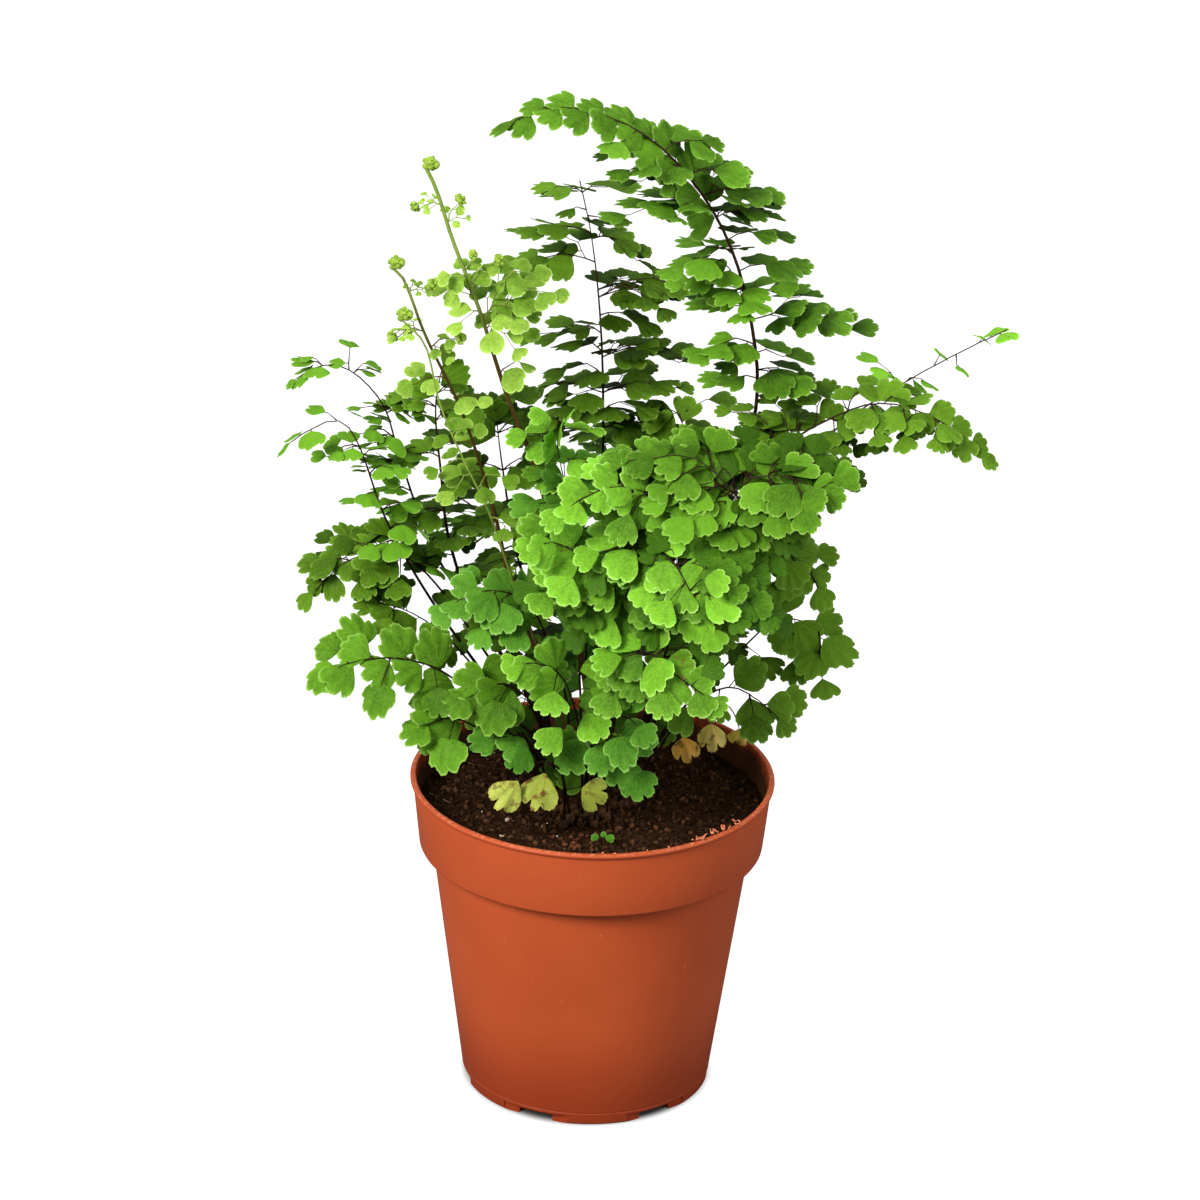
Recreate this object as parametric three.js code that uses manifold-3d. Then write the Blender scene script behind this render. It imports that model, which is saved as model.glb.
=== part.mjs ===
// A maidenhair fern growing in a round plastic nursery pot.
// Millimetres, +Z up. The origin is the centre of the pot's base, on the ground.
//
// The pot is one moulding, filled with a plug of potting soil. A short rhizome lies on the
// soil and carries every frond. A long frond is two pieces here, its bare stem and its
// leaves; a short frond is one piece. Each spray of leaflets is a thin plate of its outline.

import * as THREE from 'three';
import { mergeVertices } from 'three/addons/utils/BufferGeometryUtils.js';
import Module from 'manifold-3d';

const wasm = await Module();
wasm.setup();

// ---------------------------------------------------------------- driving dimensions

const POT_HEIGHT = 109.5;
const RIM_RADIUS = 60.3; // outside of the rolled lip
const COLLAR_TOP_RADIUS = 59.4; // just under the lip
const COLLAR_FOOT_RADIUS = 57; // at the ledge
const COLLAR_HEIGHT = 24; // lip to ledge
const BODY_TOP_RADIUS = 52.8; // just under the ledge
const BASE_RADIUS = 41.3;
const WALL = 1.1;
const LIP_HEIGHT = 1.8;
const FOOT_RING_HEIGHT = 4.5; // outside band that the foot cut-outs are in
const CHANNEL_HEIGHT = 2.3; // underside of the raised drainage channel
const CHANNEL_INNER_RADIUS = 14;
const CHANNEL_OUTER_RADIUS = 35;
const CHANNEL_SLOPE = 1.8; // how far each side of the channel leans
const DRAIN_HOLE_RADIUS = 3.2;
const DRAIN_HOLE_COUNT = 8;
const DRAIN_HOLE_CIRCLE = 24.5;
const FOOT_GAP_COUNT = 6;
const FOOT_GAP_WIDTH = 12;
const FOOT_GAP_HEIGHT = 2;
const FOOT_GAP_TURN = 6; // degrees, from +X to the first gap
const LUG_WIDTH = 5.5; // set-back lug on each side of a foot gap
const LUG_DEPTH = 0.9;
const EDGE = 0.4; // softened edges of the moulding

const SOIL_TOP = 98.8;
const SEAT_GAP = 0.3; // between pieces that rest on each other

const RHIZOME_RADIUS = 25;
const RHIZOME_TOP = 101.4;
const RHIZOME_SLOPE = 2;

const POT_SIDES = 36;
const HOLE_SIDES = 8;
const RHIZOME_SIDES = 24;
const STEM_SIDES = 4;
const STEM_STEP = 18; // length of one straight stretch of a stem
const RACHIS_THICKNESS = 1.6;
const SPRAY_THICKNESS = 0.9;
const SPRAY_WIDEST = 0.55; // share of a spray's length where it is widest
const SPRAY_ROOT = 0.6; // width of a spray where it leaves the midrib
const BARE_UNDER_SPRAYS = 0.03; // share of a route from the stem's end to the first spray
const SHORTEST_SINGLE = 0.06; // share of a route below which its end has no plates
const CLEARANCE = 0.35; // kept between neighbouring fronds
const SPRAY_SHARES = [1, 0.8, 0.6, 0.4]; // of its length, that a crowded spray may keep

const COLORS = {
  pot: 0xb4552f,
  soil: 0x35251d,
  rhizome: 0x4a3020,
  stem: 0x2a1a14,
  dark: 0x2f6b27,
  mid: 0x4a922e,
  fresh: 0x70b83a,
  young: 0x9ecd48,
  blue: 0x42884a,
  dry: 0xcdb95f,
};

// ---------------------------------------------------------------- fronds

// One entry for each frond. kind is the age of its leaves, which sets their colour. thick is
// the stem's thickness and leaf the width of a leaflet. face is the way that the leaflets
// look. route runs from the rhizome to the tip. Each spray leaves the route at a share of its
// length and ends at the point that follows. From single_from to the tip, the leaflets sit on
// the frond's own midrib. A frond marked single is one piece.
const FRONDS = [
  {
    name: 'tall_right_arch', kind: 'mid', thick: 1.8, leaf: 13,
    single_from: 0.72, face: [0, -0.1, 1],
    route: [
      [9, 7, 102], [31, 14, 170], [49, 18, 226], [48, 18, 263], [36, 14, 301], [13, 8, 331],
      [-15, 2, 343], [-35, -2, 337],
    ],
    sprays: [
      [0.5, 35, 20, 244], [0.51, 64, 12, 245], [0.53, 64, 26, 249], [0.54, 29, 4, 260],
      [0.57, 85, 22, 261], [0.58, 31, 26, 268], [0.6, 62, 30, 270], [0.6, 21, 0, 293],
      [0.63, 63, 24, 283], [0.65, 27, 24, 290], [0.67, 58, 28, 292], [0.7, 54, 28, 298],
      [0.71, 1, -2, 308], [0.73, 53, 24, 306], [0.76, 44, 20, 317], [0.77, 2, -2, 324],
      [0.8, 35, 18, 329], [0.84, 1, -4, 331],
    ],
  },
  {
    name: 'back_spire', kind: 'dark', thick: 1.2, leaf: 11,
    single_from: 0.97, face: [0, 0, 1],
    route: [
      [1, 15, 102], [3, 32, 143], [1, 38, 202], [0, 40, 237], [-2, 42, 263], [-5, 42, 285],
      [-9, 42, 303],
    ],
    sprays: [
      [0.57, -21, 36, 215], [0.58, 25, 40, 218], [0.61, -14, 32, 228], [0.61, 15, 32, 229],
      [0.64, -31, 44, 228], [0.64, 29, 46, 230], [0.67, -16, 34, 242], [0.7, 27, 46, 244],
      [0.71, -26, 44, 250], [0.74, -14, 48, 252], [0.77, 15, 34, 258], [0.8, 33, 46, 267],
      [0.86, -32, 46, 272], [0.9, 14, 44, 279], [0.91, -30, 44, 284], [0.94, 6, 38, 291],
      [0.95, -13, 36, 297], [0.98, -21, 46, 301], [0.98, 5, 46, 301],
    ],
  },
  {
    name: 'young_tall', kind: 'young', thick: 2.2, leaf: 9,
    single_from: 0.97, face: [0, -0.5, 1],
    route: [
      [-2, 4, 102], [-2, 2, 135], [-12, 4, 184], [-21, 4, 217], [-31, 5, 243], [-40, 6, 271],
      [-49, 6, 295], [-54, 6, 311], [-58, 6, 320],
    ],
    sprays: [
      [0.67, -25, 0, 259], [0.73, -14, 0, 283], [0.74, -27, -8, 276], [0.75, -21, 4, 289],
      [0.77, -48, -4, 270], [0.78, -51, 0, 289], [0.81, -32, 8, 289], [0.83, -41, 4, 292],
      [0.91, -46, 8, 309], [0.94, -62, 8, 304],
    ],
  },
  {
    name: 'young_left', kind: 'young', thick: 1.6, leaf: 8,
    single_from: 0.97, face: [0, -0.5, 1],
    route: [
      [-7, 5, 102], [-11, 4, 134], [-26, 4, 166], [-34, 2, 202], [-45, 2, 237], [-57, 2, 263],
      [-64, 4, 281], [-68, 4, 286],
    ],
    sprays: [
      [0.61, -48, -2, 216], [0.66, -52, 6, 226], [0.75, -37, -4, 246], [0.79, -64, 4, 245],
      [0.85, -44, -2, 264], [0.88, -69, 8, 259], [0.95, -55, 8, 278],
    ],
  },
  {
    name: 'young_green', kind: 'young', thick: 1.3, leaf: 8,
    single_from: 0.95, face: [0, -0.5, 1],
    route: [
      [-5, 0, 102], [-12, -4, 138], [-25, -6, 174], [-35, -8, 205], [-44, -7, 224], [-52, -6, 243],
      [-57, -5, 263], [-65, -5, 272],
    ],
    sprays: [
      [0.59, -25, -16, 200], [0.65, -30, -14, 224], [0.68, -49, -10, 212], [0.71, -55, -10, 221],
      [0.76, -39, -10, 239], [0.82, -61, -8, 241], [0.93, -49, -8, 266],
    ],
  },
  {
    name: 'left_thin', kind: 'dark', thick: 1.3, leaf: 10,
    single_from: 0.9, face: [0, -0.2, 1],
    route: [
      [-9, 10, 102], [-21, 12, 130], [-40, 14, 161], [-49, 14, 187], [-52, 14, 211], [-54, 14, 234],
      [-51, 14, 253],
    ],
    sprays: [
      [0.49, -32, 14, 179], [0.55, -60, 12, 179], [0.58, -36, 6, 197], [0.65, -64, 10, 195],
      [0.71, -40, 8, 214], [0.77, -65, 18, 216], [0.8, -44, 20, 220], [0.85, -41, 10, 236],
      [0.88, -68, 18, 237], [0.91, -47, 10, 247],
    ],
  },
  {
    name: 'wispy_upper_left', kind: 'mid', thick: 1.1, leaf: 8,
    single_from: 0.9, face: [0, -0.4, 1],
    route: [
      [-10, 13, 102], [-25, 18, 134], [-52, 20, 176], [-65, 18, 212], [-71, 16, 233],
      [-82, 14, 246], [-92, 12, 248], [-102, 10, 242],
    ],
    sprays: [
      [0.5, -42, 24, 196], [0.56, -71, 24, 193], [0.61, -75, 12, 204], [0.66, -77, 24, 210],
      [0.68, -55, 22, 218], [0.72, -81, 10, 226], [0.75, -80, 24, 225], [0.77, -59, 22, 232],
      [0.78, -81, 12, 234], [0.87, -75, 18, 250], [0.88, -82, 16, 257], [0.93, -95, 14, 252],
    ],
  },
  {
    name: 'wispy_lower_left', kind: 'mid', thick: 1.1, leaf: 9,
    single_from: 0.9, face: [0, -0.4, 1],
    route: [
      [-13, 6, 102], [-30, 6, 132], [-54, 4, 169], [-69, 0, 199], [-78, -2, 226], [-85, -2, 235],
      [-96, -4, 231], [-103, -4, 225],
    ],
    sprays: [
      [0.54, -48, 4, 181], [0.6, -75, -8, 193], [0.63, -56, -6, 200], [0.67, -59, 6, 205],
      [0.71, -82, -6, 208], [0.75, -64, -6, 222], [0.79, -66, 4, 225], [0.81, -87, -8, 226],
      [0.88, -91, 0, 239],
    ],
  },
  {
    name: 'left_mid', kind: 'dark', thick: 1.2, leaf: 12,
    single_from: 0.76, face: [0, -0.5, 1],
    route: [
      [-13, 10, 102], [-26, 12, 130], [-51, 8, 171], [-66, 4, 186], [-81, 2, 184], [-90, 0, 176],
      [-96, -2, 170],
    ],
    sprays: [
      [0.66, -55, 8, 190], [0.72, -64, -8, 178], [0.73, -70, 8, 195], [0.76, -81, 14, 186],
      [0.78, -69, -4, 178], [0.79, -84, 10, 190], [0.82, -76, -6, 176], [0.85, -94, 6, 181],
    ],
  },
  {
    name: 'left_under', kind: 'dark', single: true, thick: 1.1, leaf: 12,
    single_from: 0.8, face: [0, -0.5, 1],
    route: [
      [-14, 2, 102], [-31, 2, 134], [-47, 0, 156], [-58, -2, 166], [-68, -4, 171], [-76, -6, 172],
    ],
    sprays: [[0.67, -58, -12, 162], [0.75, -51, 4, 173], [0.86, -64, 2, 177], [0.89, -69, -14, 169]],
  },
  {
    name: 'front_left_low', kind: 'mid', thick: 1.2, leaf: 15,
    single_from: 0.58, face: [0, -0.9, 1],
    route: [
      [-14, -5, 102], [-17, -14, 127], [-39, -22, 148], [-52, -26, 159], [-66, -30, 164],
      [-81, -34, 163], [-89, -36, 157],
    ],
    sprays: [
      [0.57, -31, -20, 158], [0.65, -50, -34, 151], [0.72, -53, -16, 167], [0.78, -71, -40, 152],
      [0.83, -76, -24, 168], [0.9, -85, -26, 166],
    ],
  },
  {
    name: 'front_left_hanging', kind: 'mid', single: true, thick: 1.1, leaf: 15,
    single_from: 0.72, face: [0, -0.9, 1],
    route: [
      [-12, -10, 102], [-20, -18, 127], [-36, -26, 137], [-45, -30, 143], [-53, -35, 143],
      [-59, -39, 139],
    ],
    sprays: [[0.48, -31, -20, 145], [0.62, -40, -22, 145], [0.77, -48, -42, 136]],
  },
  {
    name: 'low_mid_left', kind: 'mid', single: true, thick: 1.1, leaf: 15,
    single_from: 0.72, face: [0, -1, 1],
    route: [[-11, -7, 102], [-16, -20, 137], [-28, -27, 154], [-39, -33, 153], [-47, -37, 149]],
    sprays: [[0.58, -27, -34, 155], [0.65, -18, -24, 158], [0.72, -33, -38, 149]],
  },
  {
    name: 'centre_left', kind: 'blue', thick: 1.2, leaf: 15,
    single_from: 0.66, face: [0, -0.7, 1],
    route: [
      [-8, -3, 102], [-9, -12, 141], [-18, -24, 175], [-28, -30, 188], [-41, -34, 189],
      [-51, -38, 182],
    ],
    sprays: [
      [0.63, -14, -36, 171], [0.67, -10, -28, 188], [0.69, -31, -20, 187], [0.72, -26, -38, 176],
      [0.78, -38, -36, 173], [0.82, -41, -24, 193],
    ],
  },
  {
    name: 'heart_leaves', kind: 'fresh', single: true, thick: 1.1, leaf: 14,
    single_from: 0.72, face: [0, -1, 1],
    route: [
      [-3, -15, 102], [-4, -24, 132], [-7, -32, 151], [-12, -38, 164], [-21, -42, 169],
      [-28, -44, 166],
    ],
    sprays: [
      [0.51, -14, -38, 142], [0.6, 0, -42, 150], [0.66, 3, -38, 160], [0.72, -2, -34, 166],
      [0.78, -14, -46, 157],
    ],
  },
  {
    name: 'bright_front', kind: 'fresh', thick: 1.2, leaf: 16,
    single_from: 0.72, face: [0, -0.9, 1],
    route: [
      [-2, -9, 102], [-1, -16, 144], [1, -30, 182], [-4, -38, 203], [-15, -45, 213],
      [-23, -50, 210],
    ],
    sprays: [
      [0.66, 11, -40, 198], [0.71, -4, -48, 188], [0.76, -10, -54, 205], [0.78, -19, -54, 196],
      [0.87, -19, -42, 220],
    ],
  },
  {
    name: 'centre_top', kind: 'fresh', thick: 1.2, leaf: 14,
    single_from: 0.64, face: [0, -0.8, 1],
    route: [
      [4, -4, 102], [9, -10, 148], [22, -22, 197], [18, -30, 221], [7, -36, 229], [-4, -42, 228],
      [-15, -48, 222],
    ],
    sprays: [
      [0.64, 31, -20, 201], [0.67, 14, -36, 206], [0.74, 29, -24, 226], [0.78, 7, -46, 221],
      [0.79, 21, -38, 218], [0.84, 0, -30, 233],
    ],
  },
  {
    name: 'right_front_top', kind: 'mid', thick: 1.4, leaf: 14,
    single_from: 0.88, face: [0, -0.7, 1],
    route: [
      [9, -4, 102], [31, -14, 165], [46, -24, 206], [46, -32, 229], [61, -36, 234], [75, -40, 231],
      [87, -42, 228],
    ],
    sprays: [
      [0.66, 29, -34, 234], [0.71, 39, -46, 218], [0.72, 26, -50, 225], [0.74, 17, -42, 229],
      [0.75, 4, -30, 238], [0.75, 29, -20, 236], [0.76, 45, -14, 236], [0.79, 49, -48, 225],
      [0.81, 55, -18, 237], [0.85, 66, -22, 238], [0.85, 59, -50, 224], [0.89, 77, -28, 237],
      [0.9, 71, -54, 226], [0.95, 84, -34, 234],
    ],
  },
  {
    name: 'mid_right', kind: 'fresh', thick: 1.2, leaf: 14,
    single_from: 0.76, face: [0, -0.9, 1],
    route: [
      [5, -9, 102], [6, -18, 148], [11, -32, 187], [16, -42, 210], [24, -50, 209], [30, -56, 201],
      [38, -60, 186],
    ],
    sprays: [
      [0.6, 3, -46, 182], [0.66, 1, -48, 197], [0.73, -5, -46, 210], [0.77, 14, -54, 197],
      [0.78, 29, -36, 212], [0.82, 42, -44, 205], [0.86, 20, -62, 197], [0.88, 36, -60, 212],
      [0.89, 46, -50, 195],
    ],
  },
  {
    name: 'low_centre_right', kind: 'fresh', single: true, thick: 1.1, leaf: 14,
    single_from: 0.7, face: [0, -0.9, 1],
    route: [
      [5, -14, 102], [6, -22, 139], [11, -36, 165], [18, -46, 175], [26, -53, 171], [34, -57, 167],
      [41, -59, 162],
    ],
    sprays: [
      [0.53, 4, -46, 161], [0.66, 13, -52, 164], [0.74, 3, -48, 174], [0.75, 35, -44, 179],
      [0.8, 22, -60, 165], [0.89, 36, -52, 173],
    ],
  },
  {
    name: 'low_front', kind: 'mid', single: true, thick: 1.1, leaf: 17,
    single_from: 0.76, face: [0, -1.1, 1],
    route: [[1, -19, 102], [4, -28, 126], [6, -36, 142], [15, -43, 142], [20, -45, 132]],
    sprays: [[0.57, 1, -44, 135], [0.69, 10, -48, 137]],
  },
  {
    name: 'low_left', kind: 'blue', single: true, thick: 1, leaf: 14,
    single_from: 0.72, face: [0, -1.1, 1],
    route: [[-7, -16, 102], [-12, -24, 126], [-20, -30, 134], [-30, -34, 135], [-38, -37, 134]],
    sprays: [[0.52, -11, -30, 134], [0.67, -23, -38, 132], [0.78, -30, -28, 136]],
  },
  {
    name: 'right_wide', kind: 'dark', thick: 1.5, leaf: 14,
    single_from: 0.8, face: [0, -0.5, 1],
    route: [
      [13, 4, 102], [20, 8, 140], [41, 10, 190], [58, 8, 223], [75, 4, 238], [91, 0, 245],
      [109, -4, 241], [126, -8, 229],
    ],
    sprays: [
      [0.5, 38, 16, 213], [0.52, 65, 0, 210], [0.59, 32, 20, 225], [0.62, 39, 12, 239],
      [0.63, 55, -8, 221], [0.64, 55, 18, 241], [0.64, 68, -14, 228], [0.66, 64, 26, 230],
      [0.69, 73, 18, 245], [0.72, 77, -10, 232], [0.75, 86, 14, 248], [0.79, 90, -14, 237],
      [0.81, 100, 8, 248], [0.84, 98, -14, 236], [0.89, 108, -16, 237],
    ],
  },
  {
    name: 'right_wispy', kind: 'fresh', thick: 1.1, leaf: 9,
    single_from: 0.97, face: [0, -0.4, 1],
    route: [
      [13, 9, 102], [23, 16, 136], [49, 20, 183], [73, 22, 222], [95, 24, 240], [115, 24, 253],
      [131, 24, 262],
    ],
    sprays: [
      [0.71, 77, 30, 238], [0.75, 97, 14, 233], [0.8, 88, 28, 251], [0.82, 106, 16, 248],
      [0.87, 111, 30, 253], [0.91, 115, 18, 248], [0.95, 124, 30, 257],
    ],
  },
  {
    name: 'right_under', kind: 'dark', thick: 1.2, leaf: 14,
    single_from: 0.72, face: [0, -0.7, 1],
    route: [
      [10, 0, 102], [20, -2, 145], [32, -8, 184], [45, -14, 201], [60, -18, 200], [69, -20, 193],
      [73, -22, 184],
    ],
    sprays: [
      [0.55, 42, -18, 167], [0.61, 47, -20, 179], [0.68, 37, -22, 183], [0.69, 30, -4, 200],
      [0.74, 49, -26, 192], [0.77, 56, -2, 205], [0.8, 65, -10, 205], [0.85, 58, -28, 189],
      [0.89, 74, -14, 198],
    ],
  },
  {
    name: 'right_low', kind: 'dark', single: true, thick: 1.1, leaf: 15,
    single_from: 0.76, face: [0, -0.9, 1],
    route: [
      [15, 5, 102], [23, 6, 123], [42, 6, 142], [52, 6, 151], [62, 4, 161], [75, 2, 159],
      [84, 0, 154],
    ],
    sprays: [
      [0.57, 41, -4, 143], [0.64, 61, -2, 150], [0.7, 54, 12, 161], [0.77, 59, 10, 166],
      [0.81, 69, -4, 148], [0.9, 79, -6, 142],
    ],
  },
  {
    name: 'right_lowest', kind: 'dark', single: true, thick: 1.1, leaf: 14,
    single_from: 0.72, face: [0, -0.9, 1],
    route: [
      [14, -3, 102], [21, -6, 124], [35, -10, 139], [47, -14, 147], [57, -18, 145], [68, -22, 136],
    ],
    sprays: [
      [0.51, 31, -4, 142], [0.59, 32, -22, 136], [0.66, 43, -22, 140], [0.7, 52, -6, 151],
      [0.79, 56, -26, 138], [0.86, 68, -12, 142],
    ],
  },
  {
    name: 'inner_left', kind: 'dark', thick: 1.1, leaf: 11,
    single_from: 0.92, face: [0, -0.3, 1],
    route: [[-6, 14, 102], [-14, 22, 140], [-26, 28, 173], [-32, 32, 204], [-35, 34, 226]],
    sprays: [
      [0.47, -32, 34, 152], [0.58, -41, 20, 176], [0.58, -11, 34, 178], [0.69, -45, 26, 191],
      [0.69, -13, 24, 197], [0.83, -49, 30, 207], [0.83, -17, 28, 211], [0.93, -48, 36, 220],
      [0.93, -18, 30, 225], [0.99, -27, 36, 233], [0.99, -45, 38, 231],
    ],
  },
  {
    name: 'inner_right', kind: 'dark', thick: 1.2, leaf: 13,
    single_from: 0.88, face: [0, -0.3, 1],
    route: [[7, 14, 102], [15, 26, 146], [22, 32, 180], [25, 36, 211], [28, 38, 227]],
    sprays: [
      [0.38, -2, 24, 157], [0.47, 34, 24, 169], [0.6, 4, 24, 181], [0.74, 7, 30, 199],
      [0.74, 37, 28, 202], [0.87, 9, 36, 218], [0.9, 41, 34, 219], [0.95, 15, 40, 230],
      [0.98, 40, 40, 232],
    ],
  },
  {
    name: 'yellowed', kind: 'dry', single: true, thick: 1, leaf: 15,
    single_from: 0.62, face: [0, -0.6, 1],
    route: [[-9, -20, 102], [-13, -22, 109], [-22, -25, 113], [-31, -27, 109]],
    sprays: [[0.42, -8, -24, 115]],
  },
  {
    name: 'dry_right', kind: 'dry', single: true, thick: 1, leaf: 11,
    single_from: 0.82, face: [0, -1.2, 1],
    route: [[17, 8, 102], [25, 14, 110], [33, 18, 113], [41, 21, 112], [47, 23, 109]],
    sprays: [[0.46, 32, 10, 112], [0.72, 41, 14, 111]],
  },
  {
    name: 'back_centre', kind: 'dark', thick: 1.3, leaf: 13,
    single_from: 0.86, face: [0, 0.6, 1],
    route: [[6, 19, 102], [10, 42, 166], [14, 66, 200], [18, 88, 194], [22, 104, 172]],
    sprays: [
      [0.46, 33, 76, 172], [0.52, 9, 32, 207], [0.57, -3, 84, 185], [0.63, 38, 59, 209],
      [0.68, -8, 86, 200], [0.74, 41, 85, 196], [0.79, -3, 97, 185], [0.85, 40, 96, 182],
      [0.9, 3, 104, 171],
    ],
  },
  {
    name: 'back_left', kind: 'dark', single: true, thick: 1.2, leaf: 13,
    single_from: 0.82, face: [-0.3, 0.6, 1],
    route: [[-11, 17, 102], [-28, 46, 160], [-48, 70, 178], [-66, 84, 160]],
    sprays: [
      [0.46, -32, 27, 179], [0.53, -22, 77, 162], [0.6, -55, 45, 180], [0.67, -32, 84, 171],
      [0.75, -66, 62, 180], [0.82, -46, 92, 165], [0.89, -74, 71, 163],
    ],
  },
  {
    name: 'back_right', kind: 'mid', single: true, thick: 1.2, leaf: 13,
    single_from: 0.82, face: [0.3, 0.6, 1],
    route: [[12, 15, 102], [32, 46, 156], [52, 70, 172], [70, 86, 152]],
    sprays: [
      [0.46, 24, 75, 151], [0.53, 56, 39, 173], [0.6, 31, 81, 164], [0.67, 67, 55, 175],
      [0.75, 44, 90, 165], [0.82, 76, 69, 162], [0.89, 55, 93, 149],
    ],
  },
  {
    name: 'back_low_left', kind: 'mid', single: true, thick: 1.1, leaf: 13,
    single_from: 0.8, face: [0, 0.8, 1],
    route: [[-6, 21, 102], [-14, 46, 128], [-24, 70, 136], [-32, 90, 122]],
    sprays: [
      [0.46, -36, 48, 143], [0.56, -7, 77, 126], [0.66, -42, 68, 139], [0.76, -14, 86, 124],
      [0.86, -43, 83, 123],
    ],
  },
  {
    name: 'back_low_right', kind: 'mid', single: true, thick: 1.1, leaf: 13,
    single_from: 0.8, face: [0, 0.8, 1],
    route: [[9, 20, 102], [18, 48, 126], [30, 74, 132], [40, 92, 114]],
    sprays: [
      [0.46, 8, 76, 120], [0.56, 45, 62, 138], [0.66, 17, 87, 122], [0.76, 50, 80, 125],
      [0.86, 25, 92, 111],
    ],
  },
];

// ---------------------------------------------------------------- solids and meshes

function polar(radius, degrees) {
  const angle = THREE.MathUtils.degToRad(degrees);
  return new THREE.Vector3(radius * Math.cos(angle), radius * Math.sin(angle), 0);
}

function toSolid(geometry) {
  const bare = geometry.clone();
  bare.deleteAttribute('normal');
  bare.deleteAttribute('uv');
  const merged = mergeVertices(bare, 1e-4);
  const corners = merged.index.array;
  const triangles = [];
  for (let i = 0; i < corners.length; i += 3) {
    const [a, b, c] = [corners[i], corners[i + 1], corners[i + 2]];
    if (a !== b && b !== c && c !== a) triangles.push(a, b, c);
  }
  return new wasm.Manifold(new wasm.Mesh({
    numProp: 3,
    vertProperties: new Float32Array(merged.attributes.position.array),
    triVerts: new Uint32Array(triangles),
  }));
}

function toGeometry(solid) {
  const mesh = solid.getMesh();
  const geometry = new THREE.BufferGeometry();
  geometry.setAttribute('position', new THREE.BufferAttribute(mesh.vertProperties, 3));
  geometry.setIndex(new THREE.BufferAttribute(mesh.triVerts, 1));
  geometry.computeVertexNormals();
  return geometry;
}

function namedMesh(name, solid, color, roughness) {
  const material = new THREE.MeshStandardMaterial({ color, roughness, metalness: 0 });
  const mesh = new THREE.Mesh(toGeometry(solid), material);
  mesh.name = name;
  return mesh;
}

// Turns a profile of [radius, height] points round the pot's axis.
function turned(profile, sides) {
  const points = profile.map(([radius, height]) => new THREE.Vector2(radius, height));
  const geometry = new THREE.LatheGeometry(points, sides);
  geometry.rotateX(Math.PI / 2);
  return toSolid(geometry);
}

// ---------------------------------------------------------------- pot

// The inside of the pot from the axis of its floor to the mouth, drawn in by gap.
function potInside(gap) {
  const ledge = POT_HEIGHT - COLLAR_HEIGHT;
  const floor = WALL + gap;
  const channel = CHANNEL_HEIGHT + WALL + gap;
  return [
    [0, floor],
    [CHANNEL_INNER_RADIUS - WALL, floor],
    [CHANNEL_INNER_RADIUS + CHANNEL_SLOPE - WALL, channel],
    [CHANNEL_OUTER_RADIUS - CHANNEL_SLOPE + WALL, channel],
    [BASE_RADIUS - WALL - gap, channel + 1],
    [BODY_TOP_RADIUS - WALL - gap, ledge - WALL],
    [COLLAR_FOOT_RADIUS - WALL - gap, ledge + WALL],
    [COLLAR_TOP_RADIUS - WALL - gap, POT_HEIGHT - LIP_HEIGHT],
  ];
}

function makePot() {
  const ledge = POT_HEIGHT - COLLAR_HEIGHT;
  const lipFoot = POT_HEIGHT - LIP_HEIGHT;
  const outside = [
    [0, 0],
    [CHANNEL_INNER_RADIUS, 0],
    [CHANNEL_INNER_RADIUS + CHANNEL_SLOPE, CHANNEL_HEIGHT],
    [CHANNEL_OUTER_RADIUS - CHANNEL_SLOPE, CHANNEL_HEIGHT],
    [CHANNEL_OUTER_RADIUS, 0],
    [BASE_RADIUS - 2 * EDGE, 0],
    [BASE_RADIUS, 2 * EDGE],
    [BASE_RADIUS + EDGE, FOOT_RING_HEIGHT],
    [BODY_TOP_RADIUS, ledge - EDGE],
    [COLLAR_FOOT_RADIUS - EDGE, ledge],
    [COLLAR_FOOT_RADIUS, ledge + EDGE],
    [COLLAR_TOP_RADIUS, lipFoot],
    [RIM_RADIUS, lipFoot + LIP_HEIGHT / 2],
    [RIM_RADIUS - 3 * EDGE, POT_HEIGHT],
    [COLLAR_TOP_RADIUS - WALL + EDGE, POT_HEIGHT - EDGE],
  ];
  let pot = turned([...outside, ...potInside(0).reverse()], POT_SIDES);
  for (let i = 0; i < DRAIN_HOLE_COUNT; i++) {
    const height = 4 * CHANNEL_HEIGHT;
    const hole = new THREE.CylinderGeometry(DRAIN_HOLE_RADIUS, DRAIN_HOLE_RADIUS, height, HOLE_SIDES);
    hole.rotateX(Math.PI / 2);
    const place = polar(DRAIN_HOLE_CIRCLE, (i + 0.5) * 360 / DRAIN_HOLE_COUNT);
    hole.translate(place.x, place.y, CHANNEL_HEIGHT);
    pot = pot.subtract(toSolid(hole));
  }
  for (let i = 0; i < FOOT_GAP_COUNT; i++) {
    const turn = THREE.MathUtils.degToRad(FOOT_GAP_TURN + i * 360 / FOOT_GAP_COUNT);
    const reach = 4 * (BASE_RADIUS - CHANNEL_OUTER_RADIUS);
    const gap = new THREE.BoxGeometry(reach, FOOT_GAP_WIDTH, 2 * FOOT_GAP_HEIGHT);
    gap.translate(BASE_RADIUS, 0, 0);
    gap.rotateZ(turn);
    pot = pot.subtract(toSolid(gap));
    const lugsWidth = FOOT_GAP_WIDTH + 2 * LUG_WIDTH;
    const setBack = new THREE.BoxGeometry(reach, lugsWidth, 2 * FOOT_GAP_HEIGHT + EDGE);
    setBack.translate(BASE_RADIUS + reach / 2 - LUG_DEPTH, 0, 0);
    setBack.rotateZ(turn);
    pot = pot.subtract(toSolid(setBack));
  }
  return pot;
}

// ---------------------------------------------------------------- soil and rhizome

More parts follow.
